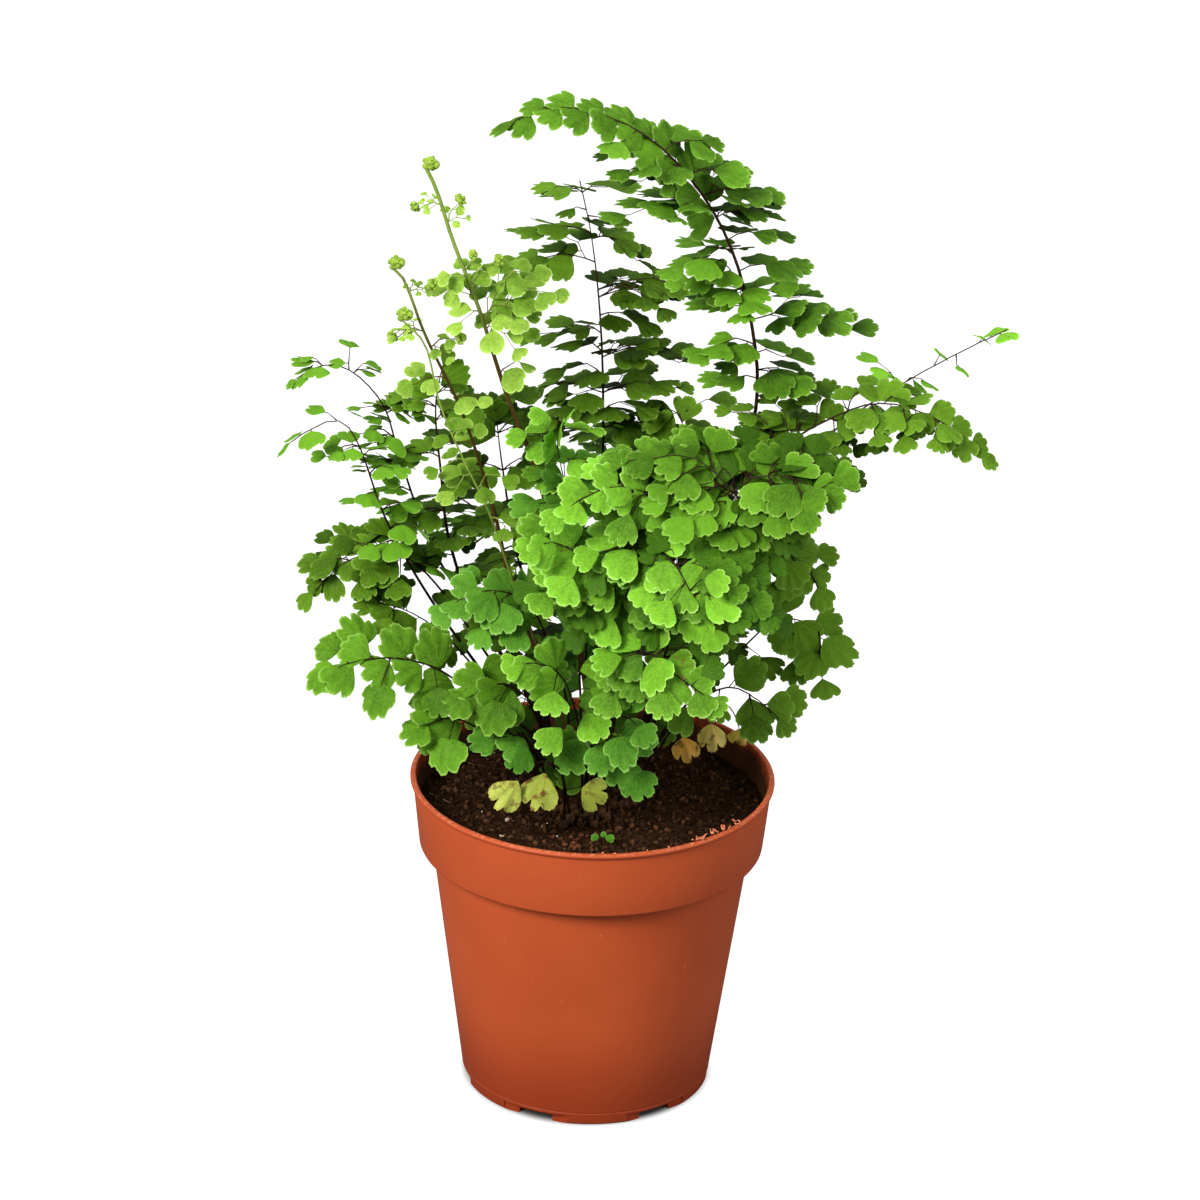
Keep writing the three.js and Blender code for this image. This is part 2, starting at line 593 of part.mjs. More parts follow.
function makeSoil() {
  const inside = potInside(SEAT_GAP).filter(([, height]) => height < SOIL_TOP);
  const [lowRadius, lowHeight] = inside[inside.length - 1];
  const [topRadius, topHeight] = potInside(SEAT_GAP).at(-1);
  const share = (SOIL_TOP - lowHeight) / (topHeight - lowHeight);
  const edgeRadius = lowRadius + share * (topRadius - lowRadius);
  return turned([...inside, [edgeRadius, SOIL_TOP], [0, SOIL_TOP]], POT_SIDES);
}

function makeRhizome() {
  const bottom = SOIL_TOP + SEAT_GAP;
  return turned([
    [0, bottom],
    [RHIZOME_RADIUS, bottom],
    [RHIZOME_RADIUS, (bottom + RHIZOME_TOP) / 2],
    [RHIZOME_RADIUS - RHIZOME_SLOPE, RHIZOME_TOP],
    [0, RHIZOME_TOP],
  ], RHIZOME_SIDES);
}

// ---------------------------------------------------------------- stems and sprays

function routeOf(frond) {
  const points = frond.route.map((point) => new THREE.Vector3(...point));
  return new THREE.CatmullRomCurve3(points, false, 'catmullrom', 0.5);
}

// Evenly spaced points of a route, from one share of its length to another.
function stopsOf(route, from, to) {
  const steps = Math.max(2, Math.round((to - from) * route.getLength() / STEM_STEP));
  const stops = [];
  for (let i = 0; i <= steps; i++) stops.push(route.getPointAt(from + (to - from) * i / steps));
  return stops;
}

// The point that lies a share of the way along a row of stops joined by straight lines.
function between(stops, share) {
  const place = share * (stops.length - 1);
  const i = Math.min(Math.floor(place), stops.length - 2);
  return stops[i].clone().lerp(stops[i + 1], place - i);
}

function tube(stops, thickness) {
  const section = new THREE.Shape();
  for (let i = 0; i < STEM_SIDES; i++) {
    const corner = polar(thickness / 2, i * 360 / STEM_SIDES);
    if (i === 0) section.moveTo(corner.x, corner.y);
    else section.lineTo(corner.x, corner.y);
  }
  const extrudePath = new THREE.CatmullRomCurve3(stops, false, 'catmullrom', 0.5);
  const steps = stops.length - 1;
  return toSolid(new THREE.ExtrudeGeometry(section, { steps, extrudePath, curveSegments: 1 }));
}

// A thin plate with the outline of a spray, blunt at its stalk, widest halfway and pointed.
// grow draws it out on every side.
function plate(start, end, face, width, grow) {
  const length = start.distanceTo(end);
  const half = width / 2 + grow;
  const outline = new THREE.Shape();
  outline.moveTo(-grow, -SPRAY_ROOT / 2 - grow);
  outline.lineTo(length * SPRAY_WIDEST, -half);
  outline.lineTo(length + grow, 0);
  outline.lineTo(length * SPRAY_WIDEST, half);
  outline.lineTo(-grow, SPRAY_ROOT / 2 + grow);
  const depth = SPRAY_THICKNESS + 2 * grow;
  const geometry = new THREE.ExtrudeGeometry(outline, { depth, bevelEnabled: false });
  geometry.translate(0, 0, -depth / 2);
  const along = end.clone().sub(start).normalize();
  const up = new THREE.Vector3(...face).normalize();
  const across = up.clone().cross(along).normalize();
  up.crossVectors(along, across);
  geometry.applyMatrix4(new THREE.Matrix4().makeBasis(along, across, up).setPosition(start));
  return toSolid(geometry);
}

function meets(room, solid) {
  const a = room.boundingBox();
  const b = solid.boundingBox();
  const apart = [0, 1, 2].some((k) => a.min[k] > b.max[k] || b.min[k] > a.max[k]);
  return !apart && room.intersect(solid).volume() > 0;
}

// The plate of one spray. Where it would meet a neighbour it is made shorter, and a spray
// with no room at all is left out.
function clearPlate(start, end, face, width, neighbours) {
  for (const share of SPRAY_SHARES) {
    const tip = start.clone().lerp(end, share);
    const room = plate(start, tip, face, width * share, CLEARANCE);
    if (!neighbours.some((solid) => meets(room, solid))) {
      return plate(start, tip, face, width * share, 0);
    }
  }
  return null;
}

// The plates of a frond's sprays, each starting on the straight stretches of its midrib.
function sprayPlates(frond, bare, midrib, neighbours) {
  const rootAt = (along) => between(midrib, (along - bare) / (1 - bare));
  const stretches = frond.sprays.map(([along, ...tip]) => (
    [rootAt(along), new THREE.Vector3(...tip)]
  ));
  const single = 1 - frond.single_from;
  if (single > SHORTEST_SINGLE) {
    const middle = frond.single_from + single / 2;
    stretches.push([rootAt(frond.single_from), rootAt(middle)]);
    stretches.push([rootAt(middle), rootAt(1)]);
  }
  const plates = [];
  for (const [start, end] of stretches) {
    const near = [...neighbours, ...plates];
    const made = clearPlate(start, end, frond.face, frond.leaf, near);
    if (made) plates.push(made);
  }
  return plates;
}

function makeFronds(group, holders) {
  const routes = FRONDS.map(routeOf);
  const stalks = FRONDS.map((frond, i) => tube(stopsOf(routes[i], 0, 1), frond.thick));
  const made = [];
  FRONDS.forEach((frond, i) => {
    const route = routes[i];
    const firstSpray = Math.min(...frond.sprays.map(([along]) => along));
    const stemEnd = firstSpray - BARE_UNDER_SPRAYS;
    const bare = frond.single ? 0 : stemEnd + SEAT_GAP / route.getLength();
    const midrib = stopsOf(route, bare, 1);
    const otherStalks = stalks.filter((stalk, other) => other !== i);
    const plates = sprayPlates(frond, bare, midrib, [...holders, ...otherStalks, ...made]);
    const leaves = plates.reduce((all, one) => all.add(one), tube(midrib, RACHIS_THICKNESS));
    made.push(leaves);
    if (frond.single) {
      group.add(namedMesh(`${frond.name}_frond`, leaves, COLORS[frond.kind], 0.6));
    } else {
      const stem = tube(stopsOf(route, 0, stemEnd), frond.thick);
      group.add(namedMesh(`${frond.name}_stem`, stem, COLORS.stem, 0.35));
      group.add(namedMesh(`${frond.name}_leaves`, leaves, COLORS[frond.kind], 0.6));
    }
  });
}

// ---------------------------------------------------------------- assembly

const fern = new THREE.Group();
const pot = makePot();
const soil = makeSoil();
const rhizome = makeRhizome();
fern.add(namedMesh('pot', pot, COLORS.pot, 0.5));
fern.add(namedMesh('soil', soil, COLORS.soil, 0.95));
fern.add(namedMesh('rhizome', rhizome, COLORS.rhizome, 0.9));
makeFronds(fern, [pot, soil, rhizome]);

export default fern;
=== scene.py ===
# A maidenhair fern in a round plastic nursery pot, finished for rendering.
# Metres, +Z up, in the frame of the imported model. Values times MM are given in millimetres.

import math
import random

import bpy
from mathutils import Matrix, Quaternion, Vector, noise


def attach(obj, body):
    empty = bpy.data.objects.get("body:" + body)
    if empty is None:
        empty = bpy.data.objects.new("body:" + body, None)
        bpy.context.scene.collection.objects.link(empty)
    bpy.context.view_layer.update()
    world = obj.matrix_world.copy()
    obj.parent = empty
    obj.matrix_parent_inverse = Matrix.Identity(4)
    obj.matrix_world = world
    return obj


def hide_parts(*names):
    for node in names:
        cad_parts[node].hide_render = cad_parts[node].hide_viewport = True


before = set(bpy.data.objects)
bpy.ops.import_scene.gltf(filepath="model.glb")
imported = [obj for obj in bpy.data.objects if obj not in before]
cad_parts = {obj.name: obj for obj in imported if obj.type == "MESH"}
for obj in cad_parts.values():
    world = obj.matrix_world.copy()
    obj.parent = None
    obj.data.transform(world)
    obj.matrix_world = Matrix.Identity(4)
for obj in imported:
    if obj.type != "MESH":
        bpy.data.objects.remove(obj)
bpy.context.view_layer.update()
MM = 0.001

# ---------------------------------------------------------------- camera
# A long lens looks down on the plant from the front. The camera is turned a little about its
# own axis, so that the pot seems to lean slightly.

CAMERA_AIM = Vector((1.0, 0, 172.8)) * MM
CAMERA_DISTANCE = 2.2
CAMERA_ELEVATION = math.radians(24.4)
CAMERA_ROLL = math.radians(1.45)
SENSOR_WIDTH = 36
LENS = 201.9

backwards = Vector((0, -math.cos(CAMERA_ELEVATION), math.sin(CAMERA_ELEVATION)))
looking = (-backwards).to_track_quat("-Z", "Y") @ Quaternion((0, 0, 1), CAMERA_ROLL)
bpy.ops.object.camera_add(
    location=CAMERA_AIM + backwards * CAMERA_DISTANCE, rotation=looking.to_euler()
)
camera = bpy.context.object
camera.data.sensor_width = SENSOR_WIDTH
camera.data.lens = LENS
camera.data.clip_end = 20
bpy.context.scene.camera = camera

# ---------------------------------------------------------------- pot
# One injection moulding in terracotta-coloured polypropylene, 1.1 mm thick: a tapered body, a
# deep collar with a rolled lip, and a raised channel in the base with eight drain holes. Six
# cut-outs in the foot ring let the water away, each between two set-back lugs.

POT_HEIGHT = 109.5
LEDGE_HEIGHT = 85.5
WALL = 1.1
LIP_ROLL = 0.85
SPIN_STEPS = 144
DRAIN_HOLE_COUNT = 8
DRAIN_HOLE_RADIUS = 3.2
DRAIN_RING_RADIUS = 24.5
CHANNEL_HEIGHT = 2.3
FOOT_GAP_COUNT = 6
FOOT_GAP_TURN = math.radians(6)
PLASTIC_LIGHT = (0.5, 0.084, 0.023, 1)
PLASTIC_DEEP = (0.445, 0.072, 0.019, 1)
# The colour of a painted shade that darkens the pot towards its foot.
FOOT_SHADE_COLOUR = (0.25, 0.028, 0.006, 1)
PLASTIC_SCUFF = (0.66, 0.16, 0.06, 1)
# The colour of the inner wall where it is darker, just above the soil.
INNER_WALL_DARK = (0.09, 0.034, 0.012, 1)
# The colour of pale flecks on the lip: partly wear, partly a painted highlight.
LIP_WEAR_AND_HIGHLIGHT = (0.72, 0.25, 0.13, 1)


def arc(x, z, radius, start, end, count):
    """Points on an arc round (x, z), from one angle in degrees to another."""
    angles = [math.radians(start + (end - start) * i / count) for i in range(count + 1)]
    return [(x + radius * math.cos(a), z + radius * math.sin(a)) for a in angles]


def deselect_all():
    bpy.ops.object.select_all(action="DESELECT")


def settle(obj, smooth_angle):
    """Puts the piece's place into its mesh and smooths it, with edges sharper than the angle kept."""
    deselect_all()
    obj.select_set(True)
    bpy.context.view_layer.objects.active = obj
    bpy.ops.object.transform_apply(location=True, rotation=True, scale=True)
    bpy.ops.object.shade_smooth_by_angle(angle=math.radians(smooth_angle))


def turn_on_lathe(name, profile, steps):
    """A body turned round the Z axis from (radius, height) points in millimetres."""
    deselect_all()
    bpy.ops.mesh.primitive_plane_add(size=1)
    body = bpy.context.object
    body.name = name
    bpy.ops.object.mode_set(mode="EDIT")
    bpy.ops.mesh.merge(type="CENTER")
    here = Vector((profile[0][0], 0, profile[0][1])) * MM
    bpy.ops.transform.translate(value=here)
    for radius, height in profile[1:]:
        there = Vector((radius, 0, height)) * MM
        bpy.ops.mesh.extrude_region_move(TRANSFORM_OT_translate={"value": there - here})
        here = there
    bpy.ops.mesh.select_all(action="SELECT")
    bpy.ops.mesh.spin(steps=steps, angle=2 * math.pi, center=(0, 0, 0), axis=(0, 0, 1))
    bpy.ops.mesh.select_all(action="SELECT")
    bpy.ops.mesh.remove_doubles(threshold=0.01 * MM)
    bpy.ops.mesh.normals_make_consistent(inside=False)
    bpy.ops.object.mode_set(mode="OBJECT")
    return body


def cut_away(body, cutters):
    """Cuts one group of separate solids out of the body."""
    deselect_all()
    for cutter in cutters:
        cutter.select_set(True)
    bpy.context.view_layer.objects.active = cutters[0]
    bpy.ops.object.join()
    tool = bpy.context.object
    cut = body.modifiers.new("cut", "BOOLEAN")
    cut.object = tool
    cut.solver = "EXACT"
    bpy.context.view_layer.objects.active = body
    bpy.ops.object.modifier_apply(modifier=cut.name)
    bpy.data.objects.remove(tool)


pot_outside = (
    [(0, 0), (14, 0), (15.8, CHANNEL_HEIGHT), (33.2, CHANNEL_HEIGHT), (35, 0)]
    + arc(40.3, 1, 1, -90, -8, 5)
    + [(41.65, 4.2), (41.4, 4.45), (41.72, 4.75)]
    + [(52.7, LEDGE_HEIGHT - 0.9)]
    + arc(53.3, LEDGE_HEIGHT - 0.6, 0.6, 180, 90, 3)
    + arc(56.15, LEDGE_HEIGHT + 0.9, 0.9, -90, -6, 5)
    + [(59.3, POT_HEIGHT - 2.3), (59.2, POT_HEIGHT - 1.8)]
    + arc(59.45, POT_HEIGHT - LIP_ROLL, LIP_ROLL, -75, 90, 8)
    + arc(58.9, POT_HEIGHT - 0.6, 0.6, 90, 175, 4)
)
pot_inside = [
    (58.2, POT_HEIGHT - 2),
    (55.95, LEDGE_HEIGHT + WALL),
    (51.7, LEDGE_HEIGHT - WALL),
    (40.2, 4.6),
    (34.3, 3.4),
    (14.7, 3.4),
    (12.9, WALL),
    (0, WALL),
]
nursery_pot = turn_on_lathe("nursery_pot", pot_outside + pot_inside, SPIN_STEPS)

drain_holes = []
foot_gaps = []
lug_steps = []
for i in range(DRAIN_HOLE_COUNT):
    turn = (i + 0.5) * 2 * math.pi / DRAIN_HOLE_COUNT
    x, y = DRAIN_RING_RADIUS * math.cos(turn), DRAIN_RING_RADIUS * math.sin(turn)
    place = Vector((x, y, CHANNEL_HEIGHT)) * MM
    bpy.ops.mesh.primitive_cylinder_add(
        vertices=32, radius=DRAIN_HOLE_RADIUS * MM, depth=9 * MM, location=place
    )
    drain_holes.append(bpy.context.object)
for i in range(FOOT_GAP_COUNT):
    turn = FOOT_GAP_TURN + i * 2 * math.pi / FOOT_GAP_COUNT
    outwards = Vector((math.cos(turn), math.sin(turn), 0))
    for group, distance, width, height in (
        (foot_gaps, 41.3, 12, 4),
        (lug_steps, 50, 23, 6.8),
    ):
        bpy.ops.mesh.primitive_cube_add(
            size=1, location=outwards * distance * MM, rotation=(0, 0, turn)
        )
        bpy.context.object.scale = Vector((21.2, width, height)) * MM
        group.append(bpy.context.object)
cut_away(nursery_pot, drain_holes + foot_gaps)
cut_away(nursery_pot, lug_steps)
settle(nursery_pot, 32)


def new_material(name):
    """An empty material, and a function that adds a node to it."""
    made = bpy.data.materials.new(name)
    made.use_nodes = True
    made.node_tree.nodes.clear()
    return made, adder(made.node_tree)


def adder(tree):
    """A function that adds a node to a tree, sets it and joins its inputs to other outputs."""

    def add(kind, settings=None, **inputs):
        node = tree.nodes.new("ShaderNode" + kind)
        for key, value in (settings or {}).items():
            setattr(node, key, value)
        for key, value in inputs.items():
            socket = node.inputs[int(key[1:])] if key[0] == "i" and key[1:].isdigit() else None
            socket = socket or node.inputs[key.replace("_", " ")]
            if isinstance(value, bpy.types.NodeSocket):
                tree.links.new(value, socket)
            else:
                socket.default_value = value
        return node

    return add


def band(add, value, low, high):
    """0 below the low value, 1 above the high one, with a soft step between."""
    node = add("MapRange", {"interpolation_type": "SMOOTHSTEP"}, Value=value)
    node.inputs["From Min"].default_value = low
    node.inputs["From Max"].default_value = high
    return node.outputs["Result"]


def blend_colours(add, share, first, second, way="MIX"):
    """Mixes the second colour into the first."""
    node = add("Mix", {"data_type": "RGBA", "blend_type": way}, i0=share, i6=first, i7=second)
    return node.outputs[2]


def scale_of_noise(add, coordinates, scale, detail=3, roughness=0.5, stretch=None):
    """Noise on the given coordinates, stretched first if a stretch is given."""
    if stretch:
        coordinates = add("Mapping", Vector=coordinates, Scale=stretch).outputs[0]
    node = add("TexNoise", Vector=coordinates, Scale=scale, Detail=detail, Roughness=roughness)
    return node.outputs["Fac"]


def times(add, one, other):
    """The product of two values."""
    return add("Math", {"operation": "MULTIPLY"}, i0=one, i1=other).outputs[0]


def weighted(add, value, weight, rest):
    """A value times its weight, with the rest added."""
    return add("Math", {"operation": "MULTIPLY_ADD"}, i0=value, i1=weight, i2=rest).outputs[0]


def layer_value(add, name):
    """The value that a piece carries in one of its layers."""
    return add("Attribute", {"attribute_name": name}).outputs["Fac"]


def add_surface(add, colour, roughness, relief, strength, depth, shine):
    """The surface of a solid material, with a relief whose depth is in millimetres."""
    bump = add("Bump", Height=relief, Strength=strength, Distance=depth * MM)
    surface = add("BsdfPrincipled", Base_Color=colour, Roughness=roughness, Normal=bump.outputs[0])
    surface.inputs["Specular IOR Level"].default_value = shine
    add("OutputMaterial", Surface=surface.outputs[0])


def coat(obj, material):
    """Gives the whole piece one material."""
    obj.data.materials.clear()
    obj.data.materials.append(material)


pot_plastic, add = new_material("terracotta_polypropylene")
where = add("TexCoord").outputs["Object"]
cloudy = scale_of_noise(add, where, 22)
flow_marks = scale_of_noise(add, where, 60, 4, 0.6, (1, 1, 0.12))
scuffs = scale_of_noise(add, where, 420, 5, 0.65, (1, 1, 0.5))
grain = scale_of_noise(add, where, 2600, 2)
shade = blend_colours(add, band(add, cloudy, 0.3, 0.7), PLASTIC_DEEP, PLASTIC_LIGHT)
shade = blend_colours(add, band(add, scuffs, 0.64, 0.78), shade, PLASTIC_SCUFF)
height = add("SeparateXYZ", Vector=where).outputs["Z"]
# Painted shade: the plastic darkens from 42 mm above the floor down to the foot.
painted_foot_shade = times(add, band(add, height, 0.042, 0.001), 0.75)
shade = blend_colours(add, painted_foot_shade, shade, FOOT_SHADE_COLOUR)
# Pale flecks along the top of the lip: partly wear, partly a painted highlight.
rubbed_and_lit = band(add, scale_of_noise(add, where, 750, 4, 0.7), 0.45, 0.75)
at_lip = band(add, height, 0.1088, 0.1094)
shade = blend_colours(add, times(add, rubbed_and_lit, at_lip), shade, LIP_WEAR_AND_HIGHLIGHT)
# The inner wall is darker from 90 mm up to a ragged edge a few millimetres under the lip.
wall_noise = scale_of_noise(add, where, 70, 5, 0.7)
near_soil = band(add, weighted(add, height, -70, wall_noise), -7.06, -6.82)
wall_darkening = times(add, near_soil, layer_value(add, "inside"))
shade = blend_colours(add, wall_darkening, shade, INNER_WALL_DARK)
gloss = add("MapRange", Value=flow_marks)
gloss.inputs["To Min"].default_value = 0.42
gloss.inputs["To Max"].default_value = 0.56
relief = weighted(add, scuffs, 0.4, grain)
add_surface(add, shade, gloss.outputs["Result"], relief, 0.25, 0.04, 0.22)
inner_faces = nursery_pot.data.attributes.new("inside", "FLOAT", "FACE")
for face in nursery_pot.data.polygons:
    looks_in = face.normal.to_2d().dot(face.center.to_2d()) < 0 and face.center.z > 90 * MM
    inner_faces.data[face.index].value = 1.0 if looks_in else 0.0
coat(nursery_pot, pot_plastic)
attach(nursery_pot, "root")
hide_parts("pot")

# ---------------------------------------------------------------- potting soil
# Dark, moist peat that fills the pot to 11 mm under the lip, as one plug. Its surface is
# uneven, with a low heap round the crown of the plant, and loose crumbs lie all over it.

SOIL_TOP = 98.2
SOIL_EDGE = 57.1
SOIL_RINGS = 52
SOIL_STEPS = 216
CRUMB_COUNT = 2600
FIBRE_COUNT = 260
PALE_GRAIN_COUNT = 14
PEAT_DARK = (0.0155, 0.0058, 0.0016, 1)
PEAT_BROWN = (0.11, 0.05, 0.022, 1)
PEAT_RED = (0.13, 0.045, 0.02, 1)


def soil_height(x, y):
    """The height of the soil's surface in millimetres, at a place in millimetres."""
    reach = math.hypot(x, y) / SOIL_EDGE
    place = Vector((x, y, 0))
    swell = 1.1 * noise.noise(place / 17) + 0.8 * noise.noise(place / 6)
    lumps = 0.9 * noise.noise(place / 2.4) + 0.55 * noise.noise(place / 1.3)
    heap = 1.6 * max(0, 1 - reach / 0.62)
    return SOIL_TOP + heap + swell + lumps + 0.5 * reach**8


soil_plug = turn_on_lathe(
    "soil_plug",
    [(0, 1.4), (12.9, 1.4), (14.6, 3.7), (34.4, 3.7), (39.8, 4.8), (51.4, 84.3), (55.6, 86.5)]
    + [(SOIL_EDGE - 0.4, SOIL_TOP - 3)]
    + [(SOIL_EDGE * (1 - i / SOIL_RINGS), SOIL_TOP) for i in range(SOIL_RINGS + 1)],
    SOIL_STEPS,
)
for vertex in soil_plug.data.vertices:
    if vertex.co.z > (SOIL_TOP - 1) * MM:
        vertex.co.z = soil_height(vertex.co.x / MM, vertex.co.y / MM) * MM
settle(soil_plug, 50)

peat, add = new_material("moist_peat")
where = add("TexCoord").outputs["Object"]
patches = scale_of_noise(add, where, 60, 4)
crumbs = scale_of_noise(add, where, 520, 6, 0.7)
fibres = scale_of_noise(add, where, 300, 5, 0.7, (1, 0.16, 1))
tint = layer_value(add, "tint")
brownness = weighted(add, tint, 0.55, crumbs)
shade = blend_colours(add, band(add, brownness, 0.4, 0.95), PEAT_DARK, PEAT_BROWN)
redness = weighted(add, tint, 0.2, weighted(add, fibres, 0.6, patches))
shade = blend_colours(add, band(add, redness, 0.98, 1.2), shade, PEAT_RED)
add_surface(add, shade, 0.9, weighted(add, fibres, 0.7, crumbs), 0.9, 0.9, 0.05)
coat(soil_plug, peat)
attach(soil_plug, "root")
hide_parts("soil")


def join_all(name, objs):
    """Joins separate pieces of one kind into one mesh under a new name."""
    deselect_all()
    for obj in objs:
        obj.select_set(True)
    bpy.context.view_layer.objects.active = objs[0]
    bpy.ops.object.join()
    joined = bpy.context.object
    joined.name = name
    return joined


def set_tint(obj, value):
    """Gives a whole piece one value of the tint that its material reads."""
    mesh = obj.data
    layer = mesh.attributes.get("tint") or mesh.attributes.new("tint", "FLOAT", "POINT")
    layer.data.foreach_set("value", [value] * len(mesh.vertices))


def copy_of(master, matrix, tint):
    """A copy of a master piece with its own mesh, moved into place."""
    made = master.copy()
    made.data = master.data.copy()
    made.data.transform(matrix)
    set_tint(made, tint)
    bpy.context.scene.collection.objects.link(made)
    return made


def rough_lump(name, subdivisions, seed, roughness):
    """A lump of unit radius with a broken surface."""
    bpy.ops.mesh.primitive_ico_sphere_add(subdivisions=subdivisions, radius=1)
    lump = bpy.context.object
    lump.name = name
    for vertex in lump.data.vertices:
        vertex.co *= 1 + roughness * noise.noise(vertex.co * 1.7 + Vector((seed, 3 * seed, 0)))
    return lump


def spot_on_soil(draw, reach, rise=0.0):
    """A random place on the soil, in millimetres."""
    radius = SOIL_EDGE * reach * math.sqrt(draw.random())
    turn = draw.uniform(0, 2 * math.pi)
    x, y = radius * math.cos(turn), radius * math.sin(turn)
    return Vector((x, y, soil_height(x, y) + rise))


def placed(place, size, draw):
    """A matrix that sizes a unit piece, turns it at random and puts it in place."""
    axis = Vector((draw.gauss(0, 1), draw.gauss(0, 1), draw.gauss(0, 1))).normalized()
    turn = Matrix.Rotation(draw.uniform(0, 2 * math.pi), 4, axis)
    return Matrix.Translation(place * MM) @ turn @ Matrix.Diagonal((*(size * MM), 1))


draw = random.Random(7)
lumps = [rough_lump(f"crumb_master_{i}", 1, i + 1.3, 0.9) for i in range(5)]
crumb_copies = []
for i in range(CRUMB_COUNT):
    size = 0.28 + 1.1 * draw.random() ** 3.2
    shape = Vector((size, size * draw.uniform(0.6, 1), size * draw.uniform(0.5, 0.9)))
    place = spot_on_soil(draw, 0.985, size * 0.25)
    at_front = -35 < place.y < -24 and -18 < place.x < 2
    tint = draw.uniform(0.5, 1.9) if at_front else draw.random() ** 1.8
    crumb_copies.append(copy_of(draw.choice(lumps), placed(place, shape, draw), tint))
soil_crumbs = join_all("soil_crumbs", crumb_copies)
for lump in lumps:
    bpy.data.objects.remove(lump)
coat(soil_crumbs, peat)
settle(soil_crumbs, 180)
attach(soil_crumbs, "root")


def wires(name, paths, sides):
    """Round wires as one closed mesh. A path is a list of (point, radius), in millimetres."""
    curve = bpy.data.curves.new(name, "CURVE")
    curve.dimensions = "3D"
    curve.bevel_depth = MM
    curve.bevel_resolution = (sides - 4) // 2
    curve.use_fill_caps = True
    curve.resolution_u = 1
    for path in paths:
        spline = curve.splines.new("POLY")
        spline.points.add(len(path) - 1)
        for point, (place, radius) in zip(spline.points, path):
            point.co = (*(Vector(place) * MM), 1)
            point.radius = radius
    obj = bpy.data.objects.new(name, curve)
    bpy.context.scene.collection.objects.link(obj)
    deselect_all()
    obj.select_set(True)
    bpy.context.view_layer.objects.active = obj
    bpy.ops.object.convert(target="MESH")
    return bpy.context.object


def speckled(name, dark, light, scale, roughness):
    """A plain natural finish: two colours that pass into each other, and a matching grain."""
    made, add = new_material(name)
    where = add("TexCoord").outputs["Object"]
    grain = scale_of_noise(add, where, scale, 4, 0.6)
    share = weighted(add, layer_value(add, "tint"), 0.6, grain)
    shade = blend_colours(add, band(add, share, 0.35, 1.05), dark, light)
    add_surface(add, shade, roughness, grain, 0.4, 0.15, 0.15)
    return made


# Thin roots and plant fibres lie on the peat, with a few pale grains.

fibre_paths = []
for i in range(FIBRE_COUNT):
    start = spot_on_soil(draw, 0.96, 0.2)
    heading = draw.uniform(0, 2 * math.pi)
    length = draw.uniform(3, 13)
    radius = draw.uniform(0.05, 0.14)
    path = []
    for k in range(7):
        heading += draw.gauss(0, 0.35)
        path.append((start.copy(), radius * (1 - 0.08 * k)))
        start += Vector((math.cos(heading), math.sin(heading), 0)) * length / 6
        if start.to_2d().length > SOIL_EDGE - 1:
            heading += math.pi
            start.xy = path[-1][0].xy
        start.z = soil_height(start.x, start.y) + draw.uniform(0.15, 0.9)
    fibre_paths.append(path)
peat_fibres = wires("peat_fibres", fibre_paths, 4)
dry_fibre = speckled("dry_fibre", (0.035, 0.018, 0.009, 1), (0.2, 0.11, 0.055, 1), 160, 0.8)
coat(peat_fibres, dry_fibre)
settle(peat_fibres, 60)
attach(peat_fibres, "root")

grain_master = rough_lump("grain_master", 2, 9.1, 0.5)
pale_copies = []
PALE_SPOTS = [(-29, -26, 0.7), (-29.6, -24, 0.45), (-16, -18.7, 0.55), (-27.7, -14.5, 0.9)]
small_spots = [(*spot_on_soil(draw, 0.9).xy, 0.3) for i in range(PALE_GRAIN_COUNT)]
for x, y, size in PALE_SPOTS + small_spots:
    place = Vector((x, y, soil_height(x, y) + size * 0.6))
    shape = Vector((size, size * 0.8, size * 0.6))
    pale_copies.append(copy_of(grain_master, placed(place, shape, draw), draw.random()))
pale_grains = join_all("pale_grains", pale_copies)
bpy.data.objects.remove(grain_master)
pale_grain = speckled("pale_grain", (0.30, 0.20, 0.11, 1), (0.75, 0.68, 0.55, 1), 900, 0.8)
coat(pale_grains, pale_grain)
settle(pale_grains, 60)
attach(pale_grains, "root")
